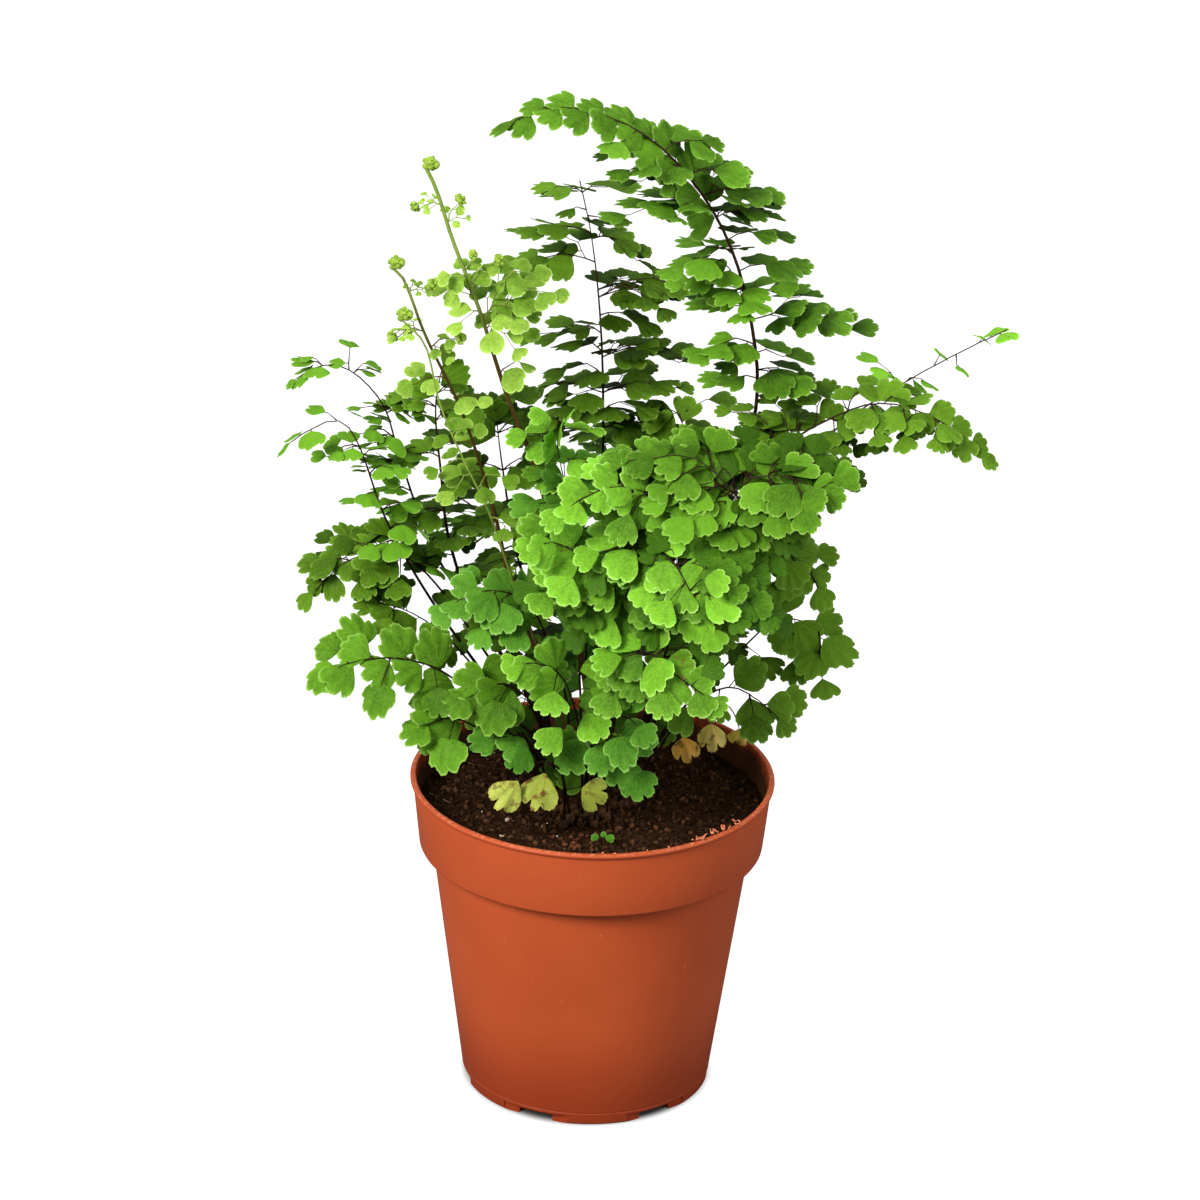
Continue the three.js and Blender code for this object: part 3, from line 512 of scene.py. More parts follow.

# ---------------------------------------------------------------- rhizome
# The crown of the plant: a short, creeping rhizome on the soil, clad in brown scales. Every
# frond stands on a knob of it.

# One entry for each frond, in millimetres: its name, the age of its leaves (the dark kind also
# holds painted shade, the tan kind painted light), the thickness of its stem, the width of a
# leaflet, the share of its length from which single leaflets sit on its own midrib, and the way
# that its leaflets look. The route of the midrib follows, and then the sprays: where each leaves
# the midrib, as a share of the midrib's length, and the point that it grows towards.

FRONDS = [
    ("tall_right_arch", "mid", 1.8, 12.5, 0.7, (0, -0.1, 1),
     [(9, 7, 102), (31, 14, 170), (49, 18, 226), (48, 18, 263), (36, 14, 301), (13, 8, 331),
      (-15, 2, 343), (-35, -2, 337)],
     [(0.5, 35, 20, 244), (0.51, 64, 12, 245), (0.53, 64, 26, 249), (0.54, 29, 4, 260),
      (0.57, 85, 22, 261), (0.58, 31, 26, 268), (0.6, 62, 30, 270), (0.6, 21, 0, 293),
      (0.63, 63, 24, 283), (0.65, 27, 24, 290), (0.67, 58, 28, 292), (0.7, 54, 28, 298),
      (0.71, 1, -2, 308), (0.73, 53, 24, 306), (0.76, 44, 20, 317), (0.77, 2, -2, 324),
      (0.8, 35, 18, 329), (0.84, 1, -4, 331)]),
    ("back_spire", "dark", 1.4, 11, 1, (0, 0, 1),
     [(1, 15, 102), (3, 32, 143), (1, 38, 202), (0, 40, 237), (-2, 42, 263), (-5, 42, 285),
      (-9, 42, 303)],
     [(0.57, -21, 36, 215), (0.58, 25, 40, 218), (0.61, -14, 32, 228), (0.61, 15, 32, 229),
      (0.64, -31, 44, 228), (0.64, 29, 46, 230), (0.67, -16, 34, 242), (0.7, 27, 46, 244),
      (0.71, -26, 44, 250), (0.74, -14, 48, 252), (0.77, 15, 34, 258), (0.8, 33, 46, 267),
      (0.86, -32, 46, 272), (0.9, 14, 44, 279), (0.91, -30, 44, 284), (0.94, 6, 38, 291),
      (0.95, -13, 36, 297), (0.98, -21, 46, 301), (0.98, 5, 46, 301)]),
    ("young_tall", "young", 2.5, 8, 0.97, (0, -0.5, 1),
     [(-2, 4, 102), (-2, 2, 135), (-12, 4, 184), (-21, 4, 217), (-31, 5, 243), (-40, 6, 271),
      (-49, 6, 295), (-54, 6, 311), (-58, 6, 320)],
     [(0.67, -25, 0, 259), (0.73, -14, 0, 283), (0.74, -27, -8, 276), (0.75, -21, 4, 289),
      (0.77, -48, -4, 270), (0.78, -51, 0, 289), (0.81, -32, 8, 289), (0.83, -41, 4, 292),
      (0.91, -46, 8, 309), (0.94, -62, 8, 304)]),
    ("young_left", "young", 1.9, 7.5, 0.97, (0, -0.5, 1),
     [(-7, 5, 102), (-11, 4, 134), (-26, 4, 166), (-34, 2, 202), (-45, 2, 237), (-57, 2, 263),
      (-64, 4, 281), (-68, 4, 286)],
     [(0.61, -48, -2, 216), (0.66, -52, 6, 226), (0.75, -37, -4, 246), (0.79, -64, 4, 245),
      (0.85, -44, -2, 264), (0.88, -69, 8, 259), (0.95, -55, 8, 278)]),
    ("young_green", "young", 1.3, 7, 0.95, (0, -0.5, 1),
     [(-5, 0, 102), (-12, -4, 138), (-25, -6, 174), (-35, -8, 205), (-44, -7, 224), (-52, -6, 243),
      (-57, -5, 263), (-65, -5, 272)],
     [(0.59, -25, -16, 200), (0.65, -30, -14, 224), (0.68, -49, -10, 212), (0.71, -55, -10, 221),
      (0.76, -39, -10, 239)]),
    ("left_thin", "dark", 1.7, 10, 0.9, (0, -0.2, 1),
     [(-9, 10, 102), (-21, 12, 130), (-40, 14, 161), (-49, 14, 187), (-52, 14, 211), (-54, 14, 234),
      (-51, 14, 253)],
     [(0.49, -32, 14, 179), (0.55, -60, 12, 179), (0.58, -36, 6, 197), (0.65, -64, 10, 195),
      (0.71, -40, 8, 214), (0.77, -65, 18, 216), (0.8, -44, 20, 220), (0.85, -41, 10, 236),
      (0.88, -68, 18, 237), (0.91, -47, 10, 247)]),
    ("wispy_upper_left", "mid", 1.3, 7.5, 0.93, (0.2, 0, 1),
     [(-10, 13, 102), (-25, 18, 134), (-52, 20, 176), (-65, 18, 212), (-71, 16, 233), (-82, 14, 246),
      (-92, 12, 248), (-102, 10, 242)],
     [(0.5, -42, 24, 196), (0.56, -71, 24, 193), (0.61, -75, 12, 204), (0.66, -77, 24, 210),
      (0.68, -55, 22, 218), (0.72, -81, 10, 226), (0.75, -80, 24, 225), (0.77, -59, 22, 232),
      (0.78, -81, 12, 234), (0.87, -75, 18, 250), (0.88, -82, 16, 257), (0.93, -95, 14, 252)]),
    ("wispy_lower_left", "mid", 1.3, 8.5, 0.93, (0.1, -0.1, 1),
     [(-13, 6, 102), (-30, 6, 132), (-54, 4, 169), (-69, 0, 199), (-78, -2, 226), (-85, -2, 235),
      (-96, -4, 231), (-103, -4, 225)],
     [(0.54, -48, 4, 181), (0.6, -75, -8, 193), (0.63, -56, -6, 200), (0.67, -59, 6, 205),
      (0.71, -82, -6, 208), (0.75, -64, -6, 222), (0.79, -66, 4, 225), (0.81, -87, -8, 226),
      (0.88, -91, 0, 239)]),
    ("left_mid", "dark", 1.2, 10.5, 0.76, (0, -0.4, 1),
     [(-13, 10, 102), (-26, 12, 130), (-51, 8, 171), (-66, 4, 186), (-81, 2, 184), (-90, 0, 176),
      (-96, -2, 170)],
     [(0.66, -55, 8, 190), (0.72, -64, -8, 178), (0.73, -70, 8, 195), (0.76, -81, 14, 186),
      (0.78, -69, -4, 178), (0.79, -84, 10, 190), (0.82, -76, -6, 176), (0.85, -94, 6, 181)]),
    ("left_under", "dark", 1.1, 11, 0.8, (0, -0.5, 1),
     [(-14, 2, 102), (-31, 2, 134), (-47, 0, 156), (-58, -2, 166), (-68, -4, 171), (-76, -6, 172)],
     [(0.67, -58, -12, 162), (0.75, -51, 4, 173), (0.86, -64, 2, 177), (0.89, -69, -14, 169)]),
    ("front_left_low", "mid", 1.2, 14.5, 0.58, (0, -0.9, 1),
     [(-14, -5, 102), (-17, -14, 127), (-39, -22, 148), (-52, -26, 159), (-66, -30, 164),
      (-81, -34, 163), (-89, -36, 157)],
     [(0.57, -31, -20, 158), (0.65, -50, -34, 151), (0.72, -53, -16, 167), (0.78, -71, -40, 152),
      (0.83, -76, -24, 168), (0.9, -85, -26, 166)]),
    ("front_left_hanging", "mid", 1.1, 15, 0.72, (0, -0.9, 1),
     [(-12, -10, 102), (-20, -18, 127), (-36, -26, 137), (-45, -30, 143), (-53, -35, 143),
      (-59, -39, 139)],
     [(0.48, -31, -20, 145), (0.62, -40, -22, 145), (0.77, -48, -42, 136)]),
    ("low_mid_left", "mid", 1.1, 15, 0.72, (0, -1, 1),
     [(-11, -7, 102), (-16, -20, 137), (-28, -27, 154), (-39, -33, 153), (-47, -37, 149)],
     [(0.58, -27, -34, 155), (0.65, -18, -24, 158), (0.72, -33, -38, 149)]),
    ("centre_left", "blue", 1.1, 12.5, 0.66, (0, -0.7, 1),
     [(-8, -3, 102), (-9, -12, 141), (-18, -24, 175), (-28, -30, 188), (-41, -34, 189), (-51, -38, 182)],
     [(0.63, -14, -36, 174), (0.67, -10, -28, 185), (0.69, -31, -20, 187), (0.72, -26, -38, 176),
      (0.78, -38, -36, 173), (0.82, -41, -24, 190)]),
    ("heart_leaves", "fresh", 1.1, 13, 0.72, (0, -1, 1),
     [(-3, -15, 102), (-4, -24, 132), (-7, -32, 151), (-12, -38, 164), (-21, -42, 169), (-28, -44, 166)],
     [(0.51, -14, -38, 142), (0.6, 0, -42, 150), (0.66, 3, -38, 160), (0.72, -2, -34, 166),
      (0.78, -14, -46, 157)]),
    ("bright_front", "fresh", 0.9, 13.5, 0.72, (0, -0.9, 1),
     [(-2, -9, 102), (-1, -16, 144), (1, -30, 182), (-4, -38, 203), (-15, -45, 213), (-23, -50, 210)],
     [(0.66, 11, -40, 198), (0.71, -4, -48, 188), (0.76, -10, -54, 205), (0.78, -19, -54, 196),
      (0.87, -19, -42, 220)]),
    ("centre_top", "fresh", 1, 12, 0.64, (0, -0.8, 1),
     [(4, -4, 102), (9, -10, 148), (22, -22, 197), (18, -30, 221), (7, -36, 229), (-4, -42, 228),
      (-15, -48, 222)],
     [(0.64, 31, -20, 201), (0.67, 14, -36, 206), (0.74, 29, -24, 226), (0.78, 7, -46, 221),
      (0.79, 21, -38, 218), (0.84, 0, -30, 233)]),
    ("right_front_top", "mid", 1.4, 12, 0.88, (0, -0.7, 1),
     [(9, -4, 102), (31, -14, 165), (46, -24, 206), (46, -32, 229), (59, -36, 234), (69, -40, 231),
      (77, -42, 228)],
     [(0.66, 29, -34, 234), (0.71, 39, -46, 218), (0.72, 26, -50, 225), (0.74, 17, -42, 229),
      (0.75, 4, -30, 238), (0.75, 29, -20, 236), (0.76, 45, -14, 236), (0.79, 49, -48, 225),
      (0.81, 55, -18, 237), (0.85, 63, -22, 238), (0.85, 57, -50, 224), (0.89, 71, -28, 237),
      (0.9, 66, -54, 226), (0.95, 77, -34, 234)]),
    ("mid_right", "fresh", 0.9, 12, 0.76, (0, -0.9, 1),
     [(5, -9, 102), (6, -18, 148), (11, -32, 187), (16, -42, 210), (24, -50, 209), (30, -56, 201),
      (38, -60, 186)],
     [(0.6, 3, -46, 182), (0.66, 1, -48, 197), (0.73, -5, -46, 210), (0.77, 14, -54, 197),
      (0.78, 29, -36, 212), (0.82, 42, -44, 205), (0.86, 20, -62, 197), (0.88, 36, -60, 212),
      (0.89, 46, -50, 195)]),
    ("low_centre_right", "fresh", 0.9, 12, 0.7, (0, -0.9, 1),
     [(5, -14, 102), (6, -22, 139), (11, -36, 165), (18, -46, 175), (26, -53, 171), (34, -57, 167),
      (41, -59, 162)],
     [(0.53, 4, -46, 161), (0.66, 13, -52, 164), (0.74, 3, -48, 174), (0.75, 35, -44, 179),
      (0.8, 22, -60, 165), (0.89, 36, -52, 173)]),
    ("low_front", "blue", 1.1, 13.5, 0.76, (0, -1.1, 1),
     [(1, -19, 102), (4, -27, 128), (6, -34, 146), (13, -40, 148), (17, -42, 141)],
     [(0.57, 3, -42, 140), (0.69, 10, -46, 142), (0.6, 17, -40, 125)]),
    ("low_left", "blue", 1, 13.5, 0.72, (0, -1.1, 1),
     [(-7, -16, 102), (-12, -24, 128), (-20, -30, 137), (-30, -33, 138), (-38, -36, 137)],
     [(0.52, -11, -30, 137), (0.67, -23, -37, 135), (0.78, -30, -28, 139)]),
    ("right_wide", "dark", 1.3, 9.8, 0.8, (0, -0.3, 1),
     [(13, 4, 102), (20, 8, 140), (41, 10, 190), (58, 8, 223), (75, 4, 238), (91, 0, 245),
      (109, -4, 241), (126, -8, 229)],
     [(0.5, 38, 16, 213), (0.52, 65, 0, 210), (0.59, 32, 20, 225), (0.62, 39, 12, 239),
      (0.63, 55, -8, 221), (0.64, 55, 18, 241), (0.64, 68, -14, 228), (0.66, 64, 26, 230),
      (0.69, 73, 18, 245), (0.72, 77, -10, 232), (0.75, 86, 14, 248), (0.79, 90, -14, 237),
      (0.81, 100, 8, 248), (0.84, 98, -14, 236), (0.89, 108, -16, 237)]),
    ("right_wispy", "fresh", 1.1, 8, 0.97, (0.4, 0.1, 1),
     [(13, 9, 102), (23, 16, 136), (49, 20, 183), (73, 22, 222), (95, 24, 240), (115, 24, 253),
      (131, 24, 262)],
     [(0.71, 77, 30, 238), (0.75, 97, 14, 233), (0.8, 88, 28, 251), (0.82, 106, 16, 248),
      (0.87, 111, 30, 253), (0.91, 115, 18, 248), (0.95, 124, 30, 257)]),
    ("right_under", "dark", 1.1, 11.5, 0.72, (0, -0.7, 1),
     [(10, 0, 102), (20, -2, 145), (32, -8, 184), (45, -14, 201), (60, -18, 200), (69, -20, 193),
      (73, -22, 184)],
     [(0.55, 42, -18, 167), (0.61, 47, -20, 179), (0.68, 37, -22, 183), (0.69, 30, -4, 200),
      (0.74, 49, -26, 192), (0.77, 56, -2, 205), (0.8, 65, -10, 205), (0.85, 58, -28, 189),
      (0.89, 74, -14, 198)]),
    ("right_low", "dark", 1.1, 12, 0.76, (0, -0.9, 1),
     [(15, 5, 102), (23, 6, 123), (40, 6, 144), (50, 6, 156), (60, 4, 166), (72, 2, 164), (80, 0, 157)],
     [(0.62, 58, -2, 152), (0.7, 52, 12, 168), (0.77, 57, 10, 173),
      (0.81, 66, -4, 149), (0.9, 75, -6, 143)]),
    ("right_lowest", "dark", 1.1, 11.5, 0.72, (0, -0.9, 1),
     [(14, -3, 102), (21, -6, 124), (33, -10, 141), (44, -14, 149), (54, -18, 146), (64, -22, 138)],
     [(0.51, 29, -4, 144), (0.59, 29, -20, 142), (0.66, 40, -22, 144), (0.7, 49, -6, 153),
      (0.79, 53, -26, 140), (0.86, 64, -12, 144)]),
    ("inner_left", "dark", 1.6, 11, 0.92, (0, -0.3, 1),
     [(-6, 14, 102), (-14, 22, 140), (-26, 28, 173), (-32, 32, 204), (-35, 34, 226)],
     [(0.47, -32, 34, 152), (0.58, -41, 20, 176), (0.58, -11, 34, 178), (0.69, -45, 26, 191),
      (0.69, -13, 24, 197), (0.83, -49, 30, 207), (0.83, -17, 28, 211), (0.93, -48, 36, 220),
      (0.93, -18, 30, 225), (0.99, -27, 36, 233), (0.99, -45, 38, 231)]),
    ("inner_right", "dark", 1.6, 13, 0.88, (0, -0.3, 1),
     [(7, 14, 102), (15, 26, 146), (22, 32, 180), (25, 36, 211), (28, 38, 227)],
     [(0.38, -2, 24, 157), (0.47, 34, 24, 169), (0.6, 4, 24, 181), (0.74, 7, 30, 199),
      (0.74, 37, 28, 202), (0.87, 9, 36, 218), (0.9, 41, 34, 219), (0.95, 15, 40, 230),
      (0.98, 40, 40, 232)]),
    ("yellowed", "dry", 1, 14.5, 0.9, (0, -1.2, 0.7),
     [(-9, -20, 102), (-9, -26, 116), (-11, -31, 126), (-16, -34, 130), (-21, -36, 128),
      (-28, -41, 120)],
     [(0.62, -16, -35, 125), (0.3, 0, -34, 122)]),
    ("dry_right", "tan", 1, 12, 0.9, (0, -1.2, 0.7),
     [(17, 8, 102), (25, 11, 120), (36, 14, 130), (45, 15, 128), (50, 15, 115)],
     [(0.42, 31, 3, 119), (0.62, 40, 7, 120)]),
    ("inner_centre", "blue", 1, 12, 0.9, (0, -0.7, 1),
     [(-2, 2, 102), (-3, 0, 150), (-4, -3, 190), (-8, -6, 212), (-16, -8, 220)],
     [(0.75, -20, -8, 204), (0.8, 6, -4, 212), (0.85, -24, -10, 213), (0.9, 0, -6, 228),
      (0.95, -12, -4, 228), (0.36, -14, 8, 156), (0.4, 5, 10, 154), (0.3, -6, 12, 146),
      (0.28, -9, 14, 148), (0.26, 5, 12, 140)]),
    ("inner_sprig", "fresh", 0.9, 9, 0.9, (0, -0.3, 1),
     [(-3, 4, 102), (-6, 2, 160), (-10, 0, 205), (-14, -4, 230), (-11, -8, 241)],
     [(0.8, -20, -2, 222), (0.86, 0, -2, 224), (0.9, -27, -6, 236), (0.94, -1, -6, 237),
      (0.97, -19, -8, 244)]),
    ("inner_low_left", "dark", 1, 11, 0.9, (0, -0.7, 1),
     [(-8, 6, 102), (-18, 8, 130), (-30, 8, 152), (-40, 8, 160)],
     [(0.4, -10, 0, 134), (0.5, -24, -4, 134), (0.6, -14, 6, 150), (0.7, -36, 0, 146),
      (0.8, -22, 12, 164), (0.9, -46, 4, 156), (0.95, -32, 14, 170), (0.55, -29, 8, 157)]),
    ("inner_low_right", "dark", 1, 11, 0.9, (0, -0.7, 1),
     [(8, 6, 102), (18, 8, 126), (30, 8, 148), (42, 8, 162)],
     [(0.4, 8, 0, 130), (0.5, 28, 0, 130), (0.6, 14, 6, 150), (0.7, 38, 0, 144),
      (0.8, 24, 12, 164), (0.9, 48, 4, 154), (0.95, 38, 14, 172)]),
    ("crown_left", "dark", 0.8, 10, 0.9, (0, -0.9, 1),
     [(-8, 8, 102), (-16, 14, 114), (-26, 20, 122), (-34, 26, 122)],
     [(0.4, -22, 2, 118), (0.5, -12, 26, 124), (0.6, -34, 10, 119), (0.7, -22, 32, 126),
      (0.8, -40, 20, 120), (0.9, -34, 36, 124)]),
    ("crown_right", "dark", 0.8, 10, 0.9, (0, -0.9, 1),
     [(4, 8, 102), (8, 14, 116), (16, 20, 124), (26, 24, 124)],
     [(0.3, 2, 2, 120), (0.4, -4, 20, 124), (0.5, 14, 6, 120), (0.6, 4, 30, 128),
      (0.7, 24, 12, 120), (0.85, 22, 34, 126)]),
    ("crown_front", "mid", 0.8, 10, 0.9, (0, -1, 1),
     [(0, -8, 102), (1, -14, 116), (-3, -20, 128), (-8, -24, 134)],
     [(0.4, -12, -14, 118), (0.5, 11, -16, 122), (0.6, -14, -20, 130), (0.75, 8, -22, 134)]),
    ("back_centre", "dark", 1.3, 13, 0.86, (0, 0.6, 1),
     [(6, 19, 102), (10, 42, 166), (14, 66, 200), (18, 88, 194), (22, 104, 172)],
     [(0.46, 33, 76, 172), (0.52, 9, 32, 207), (0.57, -3, 84, 185), (0.63, 38, 59, 209),
      (0.68, -8, 86, 200), (0.74, 41, 85, 196), (0.79, -3, 97, 185), (0.85, 40, 96, 182),
      (0.9, 3, 104, 171)]),
    ("back_left", "dark", 1.2, 13, 0.82, (-0.3, 0.6, 1),
     [(-11, 17, 102), (-28, 46, 160), (-48, 70, 178), (-66, 84, 160)],
     [(0.46, -32, 27, 179), (0.53, -22, 77, 162), (0.6, -55, 45, 180), (0.67, -32, 84, 171),
      (0.75, -66, 62, 180), (0.82, -46, 92, 165), (0.89, -74, 71, 163)]),
    ("back_right", "mid", 1.2, 13, 0.82, (0.3, 0.6, 1),
     [(12, 15, 102), (32, 46, 156), (52, 70, 172), (70, 86, 152)],
     [(0.46, 24, 75, 151), (0.53, 56, 39, 173), (0.6, 31, 81, 164), (0.67, 67, 55, 175),
      (0.75, 44, 90, 165), (0.82, 76, 69, 162), (0.89, 55, 93, 149)]),
    ("back_low_left", "mid", 1.1, 13, 0.8, (0, 0.8, 1),
     [(-6, 21, 102), (-14, 46, 128), (-24, 70, 136), (-32, 90, 122)],
     [(0.46, -36, 48, 143), (0.56, -7, 77, 126), (0.66, -42, 68, 139), (0.76, -14, 86, 124),
      (0.86, -43, 83, 123)]),
    ("back_low_right", "mid", 1.1, 13, 0.8, (0, 0.8, 1),
     [(9, 20, 102), (18, 48, 126), (30, 74, 132), (40, 92, 114)],
     [(0.46, 8, 76, 120), (0.56, 45, 62, 138), (0.66, 17, 87, 122), (0.76, 50, 80, 125),
      (0.86, 25, 92, 111)]),
]


def smooth_route(points, count):
    """Points along a smooth curve through the given ones (uniform Catmull-Rom)."""
    points = [Vector(p) for p in points]
    ends = [2 * points[0] - points[1], *points, 2 * points[-1] - points[-2]]
    route = []
    for i in range(count + 1):
        place = i / count * (len(points) - 1)
        k = min(int(place), len(points) - 2)
        t = place - k
        a, b, c, d = ends[k : k + 4]
        bend = (2 * a - 5 * b + 4 * c - d) * t * t + (3 * b - a - 3 * c + d) * t**3
        route.append(0.5 * (2 * b + (c - a) * t + bend))
    return route


class Midrib:
    """A smooth line with places on it given as shares of its length."""

    def __init__(self, points, count):
        self.points = smooth_route(points, count)
        self.reached = [0.0]
        for one, other in zip(self.points, self.points[1:]):
            self.reached.append(self.reached[-1] + (other - one).length)
        self.length = self.reached[-1]

    def at(self, share):
        target = max(0.0, min(1.0, share)) * self.length
        for i in range(len(self.points) - 1):
            if target <= self.reached[i + 1]:
                step = self.reached[i + 1] - self.reached[i]
                return self.points[i].lerp(self.points[i + 1], (target - self.reached[i]) / step)
        return self.points[-1].copy()

    def heading(self, share):
        return (self.at(min(1, share + 0.01)) - self.at(max(0, share - 0.01))).normalized()


RHIZOME_FOOT = 98.9
RHIZOME_RADIUS = 21
SCALE_COUNT = 420
KNOBS_EACH = 3
SCALE_DARK = (0.014, 0.006, 0.002, 1)
SCALE_LIGHT = (0.1, 0.042, 0.014, 1)

draw = random.Random(11)
knob_master = rough_lump("knob_master", 3, 4.2, 0.35)
knobs = []
for *_, route, _ in FRONDS:
    foot, above = Vector(route[0]), Vector(route[1])
    lean = (above - foot).normalized()
    for k in range(KNOBS_EACH):
        share = 0.6 + 0.4 * k / (KNOBS_EACH - 1)
        rise = 0.9 * k + draw.uniform(0, 0.6)
        place = Vector((foot.x * share, foot.y * share, RHIZOME_FOOT + rise))
        width = draw.uniform(1.5, 2.4) * (1.25 - 0.3 * k)
        shape = Vector((width, width * draw.uniform(0.8, 1.1), width * (0.8 + 0.25 * k)))
        turn = Vector((0, 0, 1)).rotation_difference(lean).to_matrix().to_4x4()
        spin = Matrix.Rotation(draw.uniform(0, 2 * math.pi), 4, "Z")
        size = Matrix.Diagonal((*(shape * MM), 1))
        matrix = Matrix.Translation(place * MM) @ turn @ spin @ size
        knobs.append(copy_of(knob_master, matrix, draw.random()))
bpy.data.objects.remove(knob_master)

bpy.ops.mesh.primitive_cone_add(vertices=4, radius1=0.32, radius2=0, depth=1, location=(0, 0, 0.4))
scale_master = bpy.context.object
scale_master.name = "scale_master"
scale_master.scale = (1, 0.35, 1)
settle(scale_master, 30)
scales = []
for i in range(SCALE_COUNT):
    radius = RHIZOME_RADIUS * math.sqrt(draw.random())
    turn = draw.uniform(0, 2 * math.pi)
    place = Vector((radius * math.cos(turn), radius * math.sin(turn), 0))
    place.z = RHIZOME_FOOT + 1.1 + draw.uniform(-0.6, 1.6) * (1 - radius / 40)
    lean = Vector((math.cos(turn) * 0.5, math.sin(turn) * 0.5, 1))
    lean += Vector((draw.gauss(0, 0.6), draw.gauss(0, 0.6), 0))
    size = draw.uniform(1.2, 2.6)
    matrix = Matrix.Translation(place * MM) @ lean.to_track_quat("Z", "Y").to_matrix().to_4x4()
    matrix = matrix @ Matrix.Rotation(draw.uniform(0, math.pi), 4, "Z") @ Matrix.Scale(size * MM, 4)
    scales.append(copy_of(scale_master, matrix, draw.random()))
bpy.data.objects.remove(scale_master)
scaly_rhizome = join_all("scaly_rhizome", knobs + scales)
coat(scaly_rhizome, speckled("brown_scales", SCALE_DARK, SCALE_LIGHT, 700, 0.75))
settle(scaly_rhizome, 55)
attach(scaly_rhizome, "root")
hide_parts("rhizome")

# ---------------------------------------------------------------- leaflets
# Each leaflet is a thin fan with nearly straight sides and a lobed, scalloped outer margin.
# Its veins fork outwards from the stalk. The patterns below are copied for every leaflet.

LEAFLET_COLUMNS = 28
LEAFLET_ROWS = 2
BLADE_THICKNESS = 0.018
MID_ROW = 0.58
SPOT_BROWN = (0.24, 0.12, 0.03, 1)
COMING_THROUGH = (1.3, 1.5, 0.55, 1)
VEINS_INSIDE = 17


def leaflet_pattern(name, spread, lobes, notch, skew, cup, waves, seed):
    """One leaflet of unit width, its stalk end at the origin and its fan opening along +Y."""
    choose = random.Random(seed)
    columns = LEAFLET_COLUMNS
    notches = {}
    for k in range(1, lobes):
        column = round((k / lobes + choose.uniform(-0.05, 0.05)) * columns)
        notches[column] = notch * choose.uniform(0.55, 1.15)
    deselect_all()
    bpy.ops.mesh.primitive_grid_add(x_subdivisions=columns, y_subdivisions=LEAFLET_ROWS, size=1)
    blade = bpy.context.object
    blade.name = name
    phase = choose.uniform(0, 6)
    for vertex in blade.data.vertices:
        across, along = vertex.co.x + 0.5, vertex.co.y + 0.5
        column = round(across * columns)
        row = (0, MID_ROW, 1)[round(along * LEAFLET_ROWS)]
        corner = abs(2 * across - 1)
        angle = (across - 0.5 + skew * 0.12) * math.radians(spread) * (1 + 0.12 * corner * (1 - row))
        reach = 1 - 0.09 * corner**2 - 0.2 * corner**6 + skew * 0.1 * (2 * across - 1)
        reach *= 0.89 + 0.11 * abs(math.sin(math.pi * across * lobes)) ** 0.4
        if row == 1:
            reach *= 1 + (0.015 if column % 2 else -0.015)
            reach *= 1 - notches.get(column, 0)
            beside = max(notches.get(column - 1, 0), notches.get(column + 1, 0))
            reach *= 1 - 0.22 * beside
        radius = reach * row
        lift = -cup * radius**2 + waves * math.sin(3.1 * angle + phase) * radius**1.5
        lift += 0.6 * waves * math.sin(math.pi * across * lobes * 2) * radius**2
        vertex.co = (math.sin(angle) * radius, math.cos(angle) * radius, lift)
    width = max(v.co.x for v in blade.data.vertices) - min(v.co.x for v in blade.data.vertices)
    for vertex in blade.data.vertices:
        vertex.co.x /= width
        vertex.co.y /= max(1, width * 0.62)
    blade.data.attributes.new("underside", "FLOAT", "FACE")
    bpy.ops.object.mode_set(mode="EDIT")
    bpy.ops.mesh.select_all(action="SELECT")
    bpy.ops.mesh.duplicate()
    bpy.ops.mesh.flip_normals()
    bpy.ops.object.mode_set(mode="OBJECT")
    half = len(blade.data.vertices) // 2
    underside = blade.data.attributes["underside"].data
    for face in blade.data.polygons:
        underside[face.index].value = 1.0 if face.vertices[0] >= half else 0.0
    for vertex in blade.data.vertices:
        row, column = divmod(vertex.index % half, columns + 1)
        if 0 < column < columns and 0 < row < LEAFLET_ROWS:
            vertex.co.z += BLADE_THICKNESS * (-0.5 if vertex.index >= half else 0.5)
    bpy.ops.object.mode_set(mode="EDIT")
    bpy.ops.mesh.select_all(action="SELECT")
    bpy.ops.mesh.remove_doubles(threshold=0.0005)
    bpy.ops.object.mode_set(mode="OBJECT")
    bpy.ops.object.shade_smooth_by_angle(angle=math.radians(60))
    return blade


def leaflet_patterns(name, seeds, shapes, side=1):
    """Patterns of one kind. A shape says the spread of the fan in degrees, its lobes, the depth
    of the notches between them, its skew, how far it is cupped and how strongly it is waved.
    """
    made = []
    for i, (seed, (spread, lobes, notch, skew, cup, waves)) in enumerate(zip(seeds, shapes)):
        made.append(leaflet_pattern(f"{name}_{i}", spread, lobes, notch, side * skew, cup, waves, seed))
    return made


SIDE_SHAPES = (
    (108, 3, 0.07, 1, 0.1, 0.04),
    (124, 4, 0.06, 0.8, 0.16, 0.03),
    (98, 3, 0.13, 1, 0.06, 0.05),
    (138, 4, 0.09, 0.6, 0.14, 0.04),
    (114, 5, 0.05, 1, 0.12, 0.04),
    (120, 3, 0.2, 0.7, 0.1, 0.06),
)
END_SHAPES = (
    (90, 3, 0.1, 0, 0.1, 0.04),
    (104, 4, 0.12, 0, 0.14, 0.05),
    (118, 4, 0.07, 0, 0.08, 0.04),
)
ROUND_SHAPES = (
    (150, 4, 0.1, 0, 0.14, 0.05),
    (168, 5, 0.14, 0, 0.18, 0.06),
    (138, 4, 0.12, 0.3, 0.12, 0.05),
)
YOUNG_SHAPES = (
    (120, 2, 0.06, 0.4, 0.18, 0.05),
    (140, 3, 0.08, -0.4, 0.22, 0.05),
    (108, 2, 0.12, 0, 0.1, 0.06),
)
